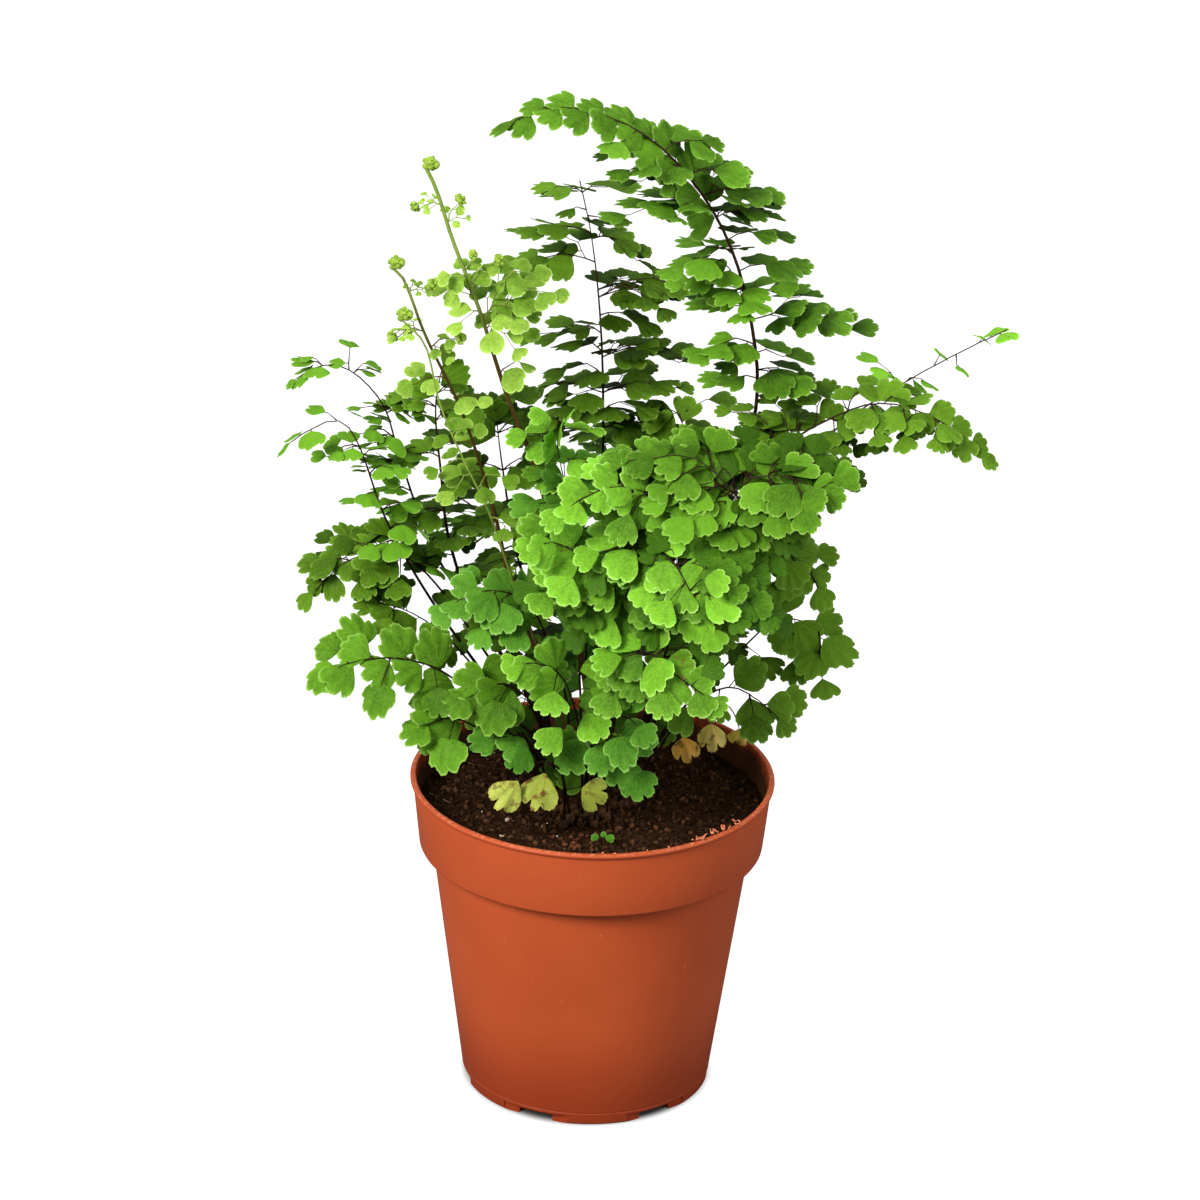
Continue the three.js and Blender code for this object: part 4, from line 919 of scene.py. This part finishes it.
DRY_SHAPES = (
    (128, 3, 0.25, 0.4, 0.2, 0.09),
    (140, 4, 0.22, -0.4, 0.25, 0.1),
    (112, 3, 0.24, 0, 0.2, 0.1),
)
LEFT_FANS = leaflet_patterns("left_fan", (1, 2, 3, 4, 5, 25), SIDE_SHAPES, -1)
RIGHT_FANS = leaflet_patterns("right_fan", (6, 7, 8, 9, 10, 26), SIDE_SHAPES)
END_FANS = leaflet_patterns("end_fan", (11, 12, 13), END_SHAPES)
ROUND_FANS = leaflet_patterns("round_fan", (14, 15, 16), ROUND_SHAPES)
YOUNG_FANS = leaflet_patterns("young_fan", (17, 18, 19), YOUNG_SHAPES)
DRY_FANS = leaflet_patterns("dry_fan", (20, 21, 22), DRY_SHAPES)

# The blade's colours, shared by leaves of every age. Each leaflet has a tint of its own, its
# margin and veins are paler, its underside is duller, and some leaflets have brown spots. A
# painted shade also darkens each leaflet from its margin towards its stalk.

blade_group = bpy.data.node_groups.new("fan_blade", "ShaderNodeTree")
for socket in ("Deep", "Light", "Margin"):
    blade_group.interface.new_socket(socket, in_out="INPUT", socket_type="NodeSocketColor")
for socket in ("Color", "Through"):
    blade_group.interface.new_socket(socket, in_out="OUTPUT", socket_type="NodeSocketColor")
blade_group.interface.new_socket("Height", in_out="OUTPUT", socket_type="NodeSocketFloat")
add = adder(blade_group)
given = blade_group.nodes.new("NodeGroupInput")
where = add("TexCoord").outputs["Object"]
fan = add("SeparateXYZ", Vector=add("UVMap", {"uv_map": "UVMap"}).outputs[0])
tint = layer_value(add, "tint")
cloudy = scale_of_noise(add, where, 260, 3, 0.55)
mottle = scale_of_noise(add, where, 1100, 3, 0.6)
veins = []
for count in (VEINS_INSIDE, 2 * VEINS_INSIDE):
    turn = times(add, fan.outputs["X"], math.pi * count)
    wave = add("Math", {"operation": "SINE"}, i0=turn)
    wave = add("Math", {"operation": "ABSOLUTE"}, i0=wave.outputs[0])
    veins.append(band(add, wave.outputs[0], 0.5, 0.1))
outer = band(add, fan.outputs["Y"], 0.42, 0.6)
vein = add("Mix", {"data_type": "FLOAT"}, i0=outer, i2=veins[0], i3=veins[1]).outputs[0]
lightness = weighted(add, mottle, 0.85, weighted(add, cloudy, 0.55, tint))
# Painted shade: each leaflet is darker near its stalk and paler towards its margin.
lightness = band(add, weighted(add, fan.outputs["Y"], 0.35, lightness), 0.78, 2.02)
shade = blend_colours(add, lightness, given.outputs["Deep"], given.outputs["Light"])
shade = blend_colours(add, times(add, vein, 0.36), shade, given.outputs["Margin"])
edge = times(add, band(add, fan.outputs["Y"], 0.89, 0.975), 0.75)
edge = times(add, edge, band(add, tint, 0, 0.5))
shade = blend_colours(add, edge, shade, given.outputs["Margin"])
blots = band(add, scale_of_noise(add, where, 330, 4, 0.6), 0.53, 0.66)
shade = blend_colours(add, times(add, blots, layer_value(add, "spots")), shade, SPOT_BROWN)
dull = add("HueSaturation", Saturation=0.8, Value=1.12, Color=shade).outputs[0]
shade = blend_colours(add, times(add, layer_value(add, "underside"), 0.8), shade, dull)
lit = blend_colours(add, 1.0, shade, COMING_THROUGH, "MULTIPLY")
result = blade_group.nodes.new("NodeGroupOutput")
blade_group.links.new(shade, result.inputs["Color"])
blade_group.links.new(lit, result.inputs["Through"])
blade_group.links.new(vein, result.inputs["Height"])


def blade_material(name, deep, light, margin, roughness, through):
    """The finish of one age of leaf. Part of the light that falls on it comes through."""
    made, add = new_material(name)
    blade = made.node_tree.nodes.new("ShaderNodeGroup")
    blade.node_tree = blade_group
    for socket, colour in (("Deep", deep), ("Light", light), ("Margin", margin)):
        blade.inputs[socket].default_value = (*colour, 1)
    bump = add("Bump", Height=blade.outputs["Height"], Strength=0.7, Distance=0.18 * MM)
    surface = add(
        "BsdfPrincipled",
        Base_Color=blade.outputs["Color"],
        Roughness=roughness,
        Normal=bump.outputs[0],
    )
    surface.inputs["Specular IOR Level"].default_value = 0.09
    glow = add("BsdfTranslucent", Color=blade.outputs["Through"], Normal=bump.outputs[0])
    both = add("MixShader", i0=through, i1=surface.outputs[0], i2=glow.outputs[0])
    add("OutputMaterial", Surface=both.outputs[0])
    return made


BLADES = {
    # The dark kind: the deeper green of older fronds, darkened further as painted shade for the fronds
    # that stand in shade at the back, inside the plant and at the sides.
    "dark": blade_material(
        "mature_leaf_and_painted_shade", (0.036, 0.1, 0.001), (0.19, 0.4, 0.02), (0.32, 0.54, 0.09), 0.55, 0.32
    ),
    "mid": blade_material(
        "grown_leaf", (0.037, 0.12, 0.001), (0.195, 0.475, 0.022), (0.4, 0.65, 0.12), 0.55, 0.3
    ),
    "fresh": blade_material(
        "fresh_leaf", (0.05, 0.17, 0.001), (0.31, 0.71, 0.038), (0.6, 0.88, 0.22), 0.5, 0.3
    ),
    "young": blade_material(
        "young_leaf", (0.14, 0.33, 0.007), (0.58, 0.8, 0.13), (0.74, 0.9, 0.3), 0.5, 0.38
    ),
    "blue": blade_material(
        "bluish_leaf", (0.035, 0.15, 0.003), (0.175, 0.47, 0.035), (0.38, 0.68, 0.16), 0.55, 0.3
    ),
    # The tan kind: the pale tan of a dead leaf, brightened further as painted light, since the bush
    # shades these leaves.
    "tan": blade_material(
        "tan_leaf_and_painted_light", (0.9, 0.5, 0.08), (1, 0.88, 0.34), (0.85, 0.6, 0.2), 0.65, 0.35
    ),
    "dry": blade_material(
        "withered_leaf", (0.4, 0.47, 0.06), (0.78, 0.84, 0.2), (0.64, 0.56, 0.16), 0.62, 0.35
    ),
}

# ---------------------------------------------------------------- fronds
# Wiry black midribs that fork into hair-thin stalks, with the leaflets set on them in turn,
# left and right. Young fronds are brown below and green above, and end in coils.

# The low fronds also have rounder leaflets. The spotted ones have leaflets with brown spots.
LOW_FRONDS = ("low_front", "low_left", "low_mid_left", "front_left_hanging", "front_left_low")
SPOTTED_FRONDS = ("low_centre_right", "heart_leaves", "bright_front", "yellowed", "dry_right")
# How many sprays, darker with painted shade, stand behind each spray of a full frond.
# With 0.5, every other one.
BACKED_FRONDS = {
    "bright_front": 2, "centre_top": 2, "right_front_top": 2, "mid_right": 2, "low_centre_right": 1,
    "left_mid": 1, "left_thin": 1, "inner_left": 1, "tall_right_arch": 0.5, "back_spire": 0.5,
    "right_wide": 0.5, "wispy_upper_left": 0.5, "wispy_lower_left": 0.5,
}
# How much paler, or darker below 0, the leaves of a frond are than others of their age: partly
# their own colour, and partly painted shade that darkens the fronds deep inside the plant.
FROND_TINTS_AND_SHADE = {
    "back_spire": -0.02, "left_under": -0.05, "inner_left": -0.2, "inner_right": 0.05,
    "left_thin": 0.1, "right_under": 0.15, "wispy_upper_left": 0.75, "wispy_lower_left": 0.7,
    "right_wispy": 0.2, "right_low": 0.4, "crown_left": -0.35, "crown_right": -0.35,
    "crown_front": -0.3, "inner_low_left": -0.4, "inner_low_right": -0.35, "inner_centre": -0.15,
    "low_centre_right": -0.2, "right_wide": 0.08, "tall_right_arch": 0.04,
    "young_green": -0.4, "young_left": -0.15, "bright_front": 0.05, "mid_right": 0.1,
}
ROUTE_STEPS = 60
MIDRIB_STEPS = 40
MIDRIB_TIP = 0.2
STALK_STEPS = 14
STALK_RADIUS = 0.27
STALK_TIP = 0.13
LEAFLET_STALK = 0.19
SAG = 0.12
TIP_GAP = 0.55
ZIGZAG = 0.22
MIDRIB_ZIGZAG = 0.16
LEAFLET_ANGLE = 66
LEAFLET_ANGLE_LOSS = 26
SINGLE_ANGLE = 64
SINGLE_ANGLE_LOSS = 22
# Spacings along a stalk are shares of a leaflet's width.
SPACING = 0.36
YOUNG_SPACING = 0.6
DRY_SPACING = 4
SINGLE_SPACING = 0.38
SMALL_LEAFLET = 9
# How much darker, as painted shade, a spray behind another is.
BACKING_SHADE = 0.42
TIP_COIL = 1.2
SPRAY_COIL = 0.85
GREEN_STEM = (0.24, 0.36, 0.055)
STREAK_BROWN = (0.06, 0.028, 0.008, 1)
UP = Vector((0, 0, 1))


def wire_material(name, low_colour, high_colour, turn_height, spread, roughness):
    """A stem that passes from one colour to another with its height above the ground."""
    made, add = new_material(name)
    where = add("TexCoord").outputs["Object"]
    height = add("SeparateXYZ", Vector=where).outputs["Z"]
    share = band(add, height, turn_height - spread, turn_height + spread)
    shade = blend_colours(add, share, (*low_colour, 1), (*high_colour, 1))
    streaks = scale_of_noise(add, where, 900, 3, 0.6, (1, 1, 0.12))
    browner = blend_colours(add, 0.5, shade, STREAK_BROWN)
    shade = blend_colours(add, band(add, streaks, 0.45, 0.75), shade, browner)
    add_surface(add, shade, roughness, streaks, 0.3, 0.05, 0.12)
    return made


black_wire = wire_material("black_stem", (0.012, 0.006, 0.003), (0.03, 0.014, 0.006), 0.2, 0.09, 0.5)
young_wire = wire_material("young_stem", (0.068, 0.0385, 0.0055), GREEN_STEM, 0.272, 0.022, 0.5)
green_wire = wire_material("green_stem", (0.12, 0.075, 0.02), GREEN_STEM, 0.19, 0.05, 0.5)


def perpendicular(vector, direction):
    """The part of a vector that is square to a direction, with unit length."""
    return (vector - direction * vector.dot(direction)).normalized()


def facing_near(face, spread, pick):
    """A direction that is a little off the one given."""
    off = Vector((pick.gauss(0, spread), pick.gauss(0, spread), pick.gauss(0, spread / 2)))
    return (face.normalized() + off).normalized()


def set_leaflet(grown, place, axis, facing, width, patterns, pick):
    """Adds one leaflet on a short stalk of its own. Sizes and places are in millimetres."""
    stalk = 0.7 + 0.025 * width
    base = place + axis * stalk
    twist = 0.35 if pick.random() < 0.1 else 0.08
    normal = perpendicular(facing_near(facing, twist, pick), axis)
    across = axis.cross(normal)
    length = width * pick.uniform(0.7, 1.04)
    matrix = Matrix((across * width, axis * length, normal * width)).transposed() * MM
    matrix = Matrix.Translation(base * MM) @ matrix.to_4x4()
    grown["wires"].append([(place, LEAFLET_STALK), (base + axis * 0.4, STALK_TIP)])
    # The leaflet's tint holds its age together with painted light and painted shade.
    leaflet = copy_of(pick.choice(patterns), matrix, pick.gauss(0.5, 0.1) + grown["age"])
    spots = leaflet.data.attributes.new("spots", "FLOAT", "POINT")
    spotted = pick.random() < grown["spotted"]
    spots.data.foreach_set("value", [pick.uniform(0.6, 1) * spotted] * len(leaflet.data.vertices))
    grown["leaflets"].append(leaflet)


def grow_spray(grown, start, tip, leaf, face, pick, radius=STALK_RADIUS, forks=True, coil=None):
    """A side stalk from the midrib to its tip, with leaflets in turn on both sides.

    All of them lie in one layer that looks along face, like tiles on a roof.
    """
    reach = (tip - start) * max(0.5, 1 - TIP_GAP * leaf / (tip - start).length)
    tip = start + reach
    bend = start + reach * 0.45
    bend.z = start.z + reach.z * (0.75 if reach.z > 0 else 0.3) + SAG * reach.length
    line = Midrib([start, bend, tip], STALK_STEPS)
    face = facing_near(face, 0.12, pick)
    path = []
    spacing = grown["spacing"] * leaf
    count = round((line.length - 0.5 * leaf) / spacing)
    side = pick.choice((-1, 1))
    path.append((start.copy(), radius))
    for k in range(count):
        share = (0.3 * leaf + spacing * k) / line.length
        if share > 0.95:
            break
        place = line.at(share)
        along = perpendicular(line.heading(share) + reach.normalized() * 0.6, face)
        place = place + along.cross(face) * side * -ZIGZAG
        path.append((place, radius + (STALK_TIP - radius) * share))
        angle = LEAFLET_ANGLE - LEAFLET_ANGLE_LOSS * share + pick.uniform(-7, 7)
        axis = Quaternion(face, math.radians(angle) * side) @ along
        axis = (axis - UP * pick.uniform(0, 0.12)).normalized()
        if forks and share < 0.5 and line.length * (1 - share) > 1.8 * leaf:
            fork = place + (axis + along * 0.35).normalized() * leaf * pick.uniform(1.5, 1.9)
            grow_spray(grown, place, fork, leaf * 0.9, face, pick, radius * 0.7, False)
        else:
            width = leaf * (1.2 - 0.3 * share) * pick.uniform(0.86, 1.1)
            patterns = grown["left"] if side < 0 else grown["right"]
            set_leaflet(grown, place, axis, face, width, patterns, pick)
        side = -side
    end, along = line.at(1), line.heading(1)
    path.append((end, STALK_TIP))
    grown["wires"].append(path)
    if coil:
        grown["coils"].append((end, along, coil))
        return
    axis = (perpendicular(along + reach.normalized() * 0.6, face) - UP * 0.06).normalized()
    set_leaflet(grown, end, axis, face, leaf * pick.uniform(0.8, 1), grown["end"], pick)


def grow_frond(number, name, kind, thick, leaf, single_from, face, route, sprays):
    """One frond: its midrib, its sprays and the single leaflets along its end."""
    pick = random.Random(100 + number)
    line = Midrib(route, ROUTE_STEPS)
    face = Vector(face)
    young = kind == "young"
    withered = kind in ("dry", "tan")
    patterns = (LEFT_FANS, RIGHT_FANS, END_FANS)
    if young or leaf < SMALL_LEAFLET:
        patterns = (YOUNG_FANS, YOUNG_FANS, YOUNG_FANS)
    elif withered:
        patterns = (DRY_FANS, DRY_FANS, DRY_FANS)
    elif name in LOW_FRONDS:
        patterns = (LEFT_FANS + ROUND_FANS, RIGHT_FANS + ROUND_FANS, ROUND_FANS)
    grown = {
        "wires": [], "leaflets": [], "coils": [], "age": 0.0, "spotted": 0.0,
        "spacing": YOUNG_SPACING if young else DRY_SPACING if withered else SPACING,
        "left": patterns[0], "right": patterns[1], "end": patterns[2],
    }
    if name in SPOTTED_FRONDS:
        grown["spotted"] = 0.95 if withered else 0.05
    first = min([spray[0] for spray in sprays] + [single_from])
    last = 1 - TIP_GAP * leaf / line.length if single_from < 0.94 else 1
    midrib = []
    for k in range(MIDRIB_STEPS + 1):
        share = last * k / MIDRIB_STEPS
        place = line.at(share)
        if share > first:
            place = place + line.heading(share).cross(UP) * MIDRIB_ZIGZAG * (1 if k % 2 else -1)
        radius = thick / 2 * (1 - share) ** 0.55
        midrib.append((place, max(0.25 * thick if young else MIDRIB_TIP, radius)))
    grown["wires"].append(midrib)
    for k, (along, *tip) in enumerate(sprays):
        ripening = 2.4 * (along - 0.72) if young else 0.25 * (along - 0.75)
        # Painted light: sprays that reach out to the left, towards the key light, are paler. The tint of
        # the leaflets adds this painted light and the painted shade below to the leaves' age.
        sunny = 0.005 * (line.at(along).x - tip[0])
        grown["age"] = ripening + sunny + FROND_TINTS_AND_SHADE.get(name, 0) + pick.gauss(0, 0.17)
        coil = None
        width = leaf
        if young and along > 0.8:
            coil = SPRAY_COIL
            width = leaf * (0.7 - 2.5 * (along - 0.8))
        start, tip = line.at(along), Vector(tip)
        grow_spray(grown, start, tip, width, face, pick, coil=coil)
        for depth in range(int(BACKED_FRONDS.get(name, 0) + k % 2 / 2)):
            # Painted shade: each spray behind is darker than the one in front of it.
            grown["age"] -= BACKING_SHADE
            off = Vector((pick.uniform(-0.8, 0.8), pick.uniform(0.5, 1.1), pick.uniform(-1, -0.4)))
            off *= leaf * (1 + 0.7 * depth)
            grow_spray(grown, start, start.lerp(tip, 0.8) + off, leaf * 0.9, face, pick)
    grown["age"] = FROND_TINTS_AND_SHADE.get(name, 0) + (-0.12 if name == "tall_right_arch" else 0.1)
    hang = Vector((0, 0.35 if leaf > SMALL_LEAFLET else 0, 0))
    count = 0 if young else int(line.length * (last - single_from) / (leaf * SINGLE_SPACING))
    side = 1
    for k in range(count):
        u = k / count
        share = single_from + (last - single_from) * u
        place, along = line.at(share), line.heading(share)
        facing = perpendicular(facing_near(face - hang, 0.08, pick), along)
        angle = SINGLE_ANGLE - SINGLE_ANGLE_LOSS * u
        axis = Quaternion(facing, math.radians(angle) * side) @ along
        axis = (axis - UP * pick.uniform(0, 0.12)).normalized()
        width = leaf * (1.16 - 0.3 * u) * pick.uniform(0.88, 1.1)
        patterns = grown["left"] if side < 0 else grown["right"]
        set_leaflet(grown, place, axis, facing, width, patterns, pick)
        side = -side
    end, along = line.at(last), line.heading(last)
    if young:
        grown["coils"].append((end, along, TIP_COIL))
    elif last < 1:
        facing = perpendicular(facing_near(face, 0.1, pick), along)
        set_leaflet(grown, end, along, facing, leaf * 0.8, grown["end"], pick)
    return grown


# A coil at the tip of a young frond: the end of the stalk rolled up like a watch spring, with
# small folded leaflets packed round it.

COIL_RADIUS = 1.75
COIL_POINTS = 26
COIL_LEAFLETS = 20

coil_path = []
for i in range(COIL_POINTS):
    turn = 0.42 * i
    radius = COIL_RADIUS * math.exp(-0.13 * turn)
    place = (COIL_RADIUS - radius * math.cos(turn), 0.06 * i, radius * math.sin(turn))
    coil_path.append((place, 0.34 - 0.008 * i))
coil_wire = wires("coil_wire", [coil_path], 6)
bead_master = rough_lump("bead_master", 2, 2.5, 0.5)
draw = random.Random(5)
beads = []
for i in range(COIL_LEAFLETS):
    turn = 0.7 * i
    radius = (COIL_RADIUS + 0.15) * math.exp(-0.11 * turn)
    sideways = draw.uniform(-0.8, 1.7)
    place = Vector((COIL_RADIUS - radius * math.cos(turn), sideways, radius * math.sin(turn)))
    size = Vector((1, 0.8, 1.1)) * draw.uniform(0.55, 0.95)
    beads.append(copy_of(bead_master, placed(place, size, draw), draw.random()))
bpy.data.objects.remove(bead_master)
coil_master = join_all("coil_master", [coil_wire, *beads])
settle(coil_master, 80)
coil_green = speckled("coiled_tip", (0.055, 0.17, 0.005, 1), (0.38, 0.56, 0.07, 1), 700, 0.45)

for number, entry in enumerate(FRONDS):
    name, kind = entry[0], entry[1]
    grown = grow_frond(number, *entry)
    stalks = wires(f"{name}_stalks", grown["wires"][:1], 8)
    fine_stalks = wires(f"{name}_fine", grown["wires"][1:], 4)
    stalks = join_all(f"{name}_stalks", [stalks, fine_stalks])
    coat(stalks, green_wire if name == "young_green" else young_wire if kind == "young" else black_wire)
    settle(stalks, 60)
    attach(stalks, "root")
    leaflets = join_all(f"{name}_leaflets", grown["leaflets"])
    coat(leaflets, BLADES[kind])
    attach(leaflets, "root")
    if f"{name}_stem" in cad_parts:
        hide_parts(f"{name}_stem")
        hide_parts(f"{name}_leaves")
    elif f"{name}_frond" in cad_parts:
        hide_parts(f"{name}_frond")
        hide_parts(f"{name}_frond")
    if grown["coils"]:
        coils = []
        for place, along, size in grown["coils"]:
            turn = along.to_track_quat("Z", "X").to_matrix().to_4x4()
            matrix = Matrix.Translation(place * MM) @ turn @ Matrix.Scale(size, 4)
            coils.append(copy_of(coil_master, matrix, 0.5))
        tips = join_all(f"{name}_coils", coils)
        coat(tips, coil_green)
        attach(tips, "root")
bpy.data.objects.remove(coil_master)

# ---------------------------------------------------------------- odds and ends
# Small things on the soil and the rim: a dry straw, a fern sprout with three leaflets, and
# shavings of orange plastic where the lip of the pot has rubbed.

SHAVING_COUNT = 20
RUBBED_STRETCHES = ((-56, -34), (-66, -34), (-88, -50))
SPROUT_PLACE = Vector((4, -32, 98.6))
SPROUT_LEAFLETS = ((-2.2, -0.5, 2.6, 2.6, 0.5), (1.6, 0.3, 2, 3, -0.6), (0.2, 0.8, 3.3, 2.1, 0.1))

straw_ends = [Vector((-54, 4, 0)), Vector((-46.5, -1, 0))]
for end in straw_ends:
    end.z = soil_height(end.x, end.y) + 0.7
dry_straw = wires("dry_straw", [[(straw_ends[0], 0.32), (straw_ends[1], 0.22)]], 8)
straw_skin = speckled("dry_straw_skin", (0.16, 0.09, 0.045, 1), (0.42, 0.3, 0.18, 1), 300, 0.7)
coat(dry_straw, straw_skin)
settle(dry_straw, 60)
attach(dry_straw, "root")

draw = random.Random(21)
sprout_leaflets = []
sprout_wires = []
for *off, size, turn in SPROUT_LEAFLETS:
    place = SPROUT_PLACE + Vector(off)
    sprout_wires.append([(SPROUT_PLACE - Vector((0, 0, 0.6)), 0.12), (place, 0.08)])
    shape = Matrix.Rotation(math.radians(52), 4, "X") @ Matrix.Rotation(turn, 4, "Z")
    shape = Matrix.Translation(place * MM) @ shape @ Matrix.Scale(size * MM, 4)
    sprout_leaflets.append(copy_of(draw.choice(ROUND_FANS), shape, draw.uniform(0.3, 0.6)))
sprout = join_all("fern_sprout", sprout_leaflets)
coat(sprout, BLADES["blue"])
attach(sprout, "root")
sprout_stalks = wires("fern_sprout_stalks", sprout_wires, 4)
coat(sprout_stalks, young_wire)
settle(sprout_stalks, 60)
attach(sprout_stalks, "root")

shaving_paths = []
for i in range(SHAVING_COUNT):
    turns = [draw.uniform(*stretch) for stretch in RUBBED_STRETCHES]
    turn = math.radians(draw.choice(turns))
    reach = draw.uniform(57.6, 59.3)
    place = Vector((reach * math.cos(turn), reach * math.sin(turn), POT_HEIGHT + draw.uniform(0, 0.5)))
    size = draw.uniform(0.5, 1.1) * (1 if turn > -1 else 0.55)
    heading = Vector((draw.gauss(0, 1), draw.gauss(0, 1), draw.uniform(0.1, 1.2))).normalized()
    sideways = heading.cross(UP).normalized() * draw.uniform(-0.8, 0.8)
    path = []
    for k in range(5):
        bow = math.sin(math.pi * k / 4)
        path.append((place + (heading * k / 2 + sideways * bow) * size, 0.34 - 0.03 * k))
    shaving_paths.append(path)
rim_shavings = wires("rim_shavings", shaving_paths, 4)
shaved_plastic = speckled("plastic_shavings", (0.6, 0.16, 0.06, 1), (0.85, 0.4, 0.25, 1), 400, 0.5)
coat(rim_shavings, shaved_plastic)
settle(rim_shavings, 60)
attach(rim_shavings, "root")
for master in LEFT_FANS + RIGHT_FANS + END_FANS + ROUND_FANS + YOUNG_FANS + DRY_FANS:
    bpy.data.objects.remove(master)

# ---------------------------------------------------------------- floor and light
# A plain pale floor, with a painted shadow that darkens it a little under the pot, one large soft
# light from the front left, a weaker one from the right, one above and an even pale surround.

LIGHTS_AIM = Vector((0, 0, 0.17))

bpy.ops.mesh.primitive_plane_add(size=9, location=(0, 0, 0))
floor = bpy.context.object
floor.name = "floor"
paper, add = new_material("pale_floor")
flat = add("Mapping", Vector=add("TexCoord").outputs["Object"], Scale=(1, 1, 0)).outputs[0]
outwards = add("VectorMath", {"operation": "LENGTH"}, i0=flat).outputs["Value"]
seen = add("LightPath").outputs["Is Camera Ray"]
# Painted shadow: the floor's glow, which only the camera sees, fades out under the pot.
glow = times(add, band(add, outwards, 0.038, 0.0435), seen)
surface = add(
    "BsdfPrincipled",
    Base_Color=(0.12, 0.115, 0.11, 1),
    Roughness=0.9,
    Emission_Color=(1, 1, 1, 1),
    Emission_Strength=glow,
)
add("OutputMaterial", Surface=surface.outputs[0])
coat(floor, paper)

surround = bpy.data.worlds.new("surround")
surround.use_nodes = True
background = surround.node_tree.nodes["Background"]
background.inputs["Color"].default_value = (0.96, 0.98, 1, 1)
background.inputs["Strength"].default_value = 0.42
bpy.context.scene.world = surround

for name, place, width, power, tone in (
    ("key_light", (-1.3, -1.45, 1.55), 0.9, 69, (1, 0.985, 0.96)),
    ("fill_light", (1.6, -0.8, 1.2), 1.2, 18, (0.95, 0.98, 1)),
    ("top_light", (-0.2, 0.9, 1.9), 1.2, 12, (1, 1, 1)),
):
    aim = (LIGHTS_AIM - Vector(place)).to_track_quat("-Z", "Y")
    bpy.ops.object.light_add(type="AREA", location=place, rotation=aim.to_euler())
    lamp = bpy.context.object
    lamp.name = name
    lamp.data.size = width
    lamp.data.energy = power
    lamp.data.color = tone

view = bpy.context.scene.view_settings
view.view_transform = "Standard"
view.look = "None"
view.exposure = 0
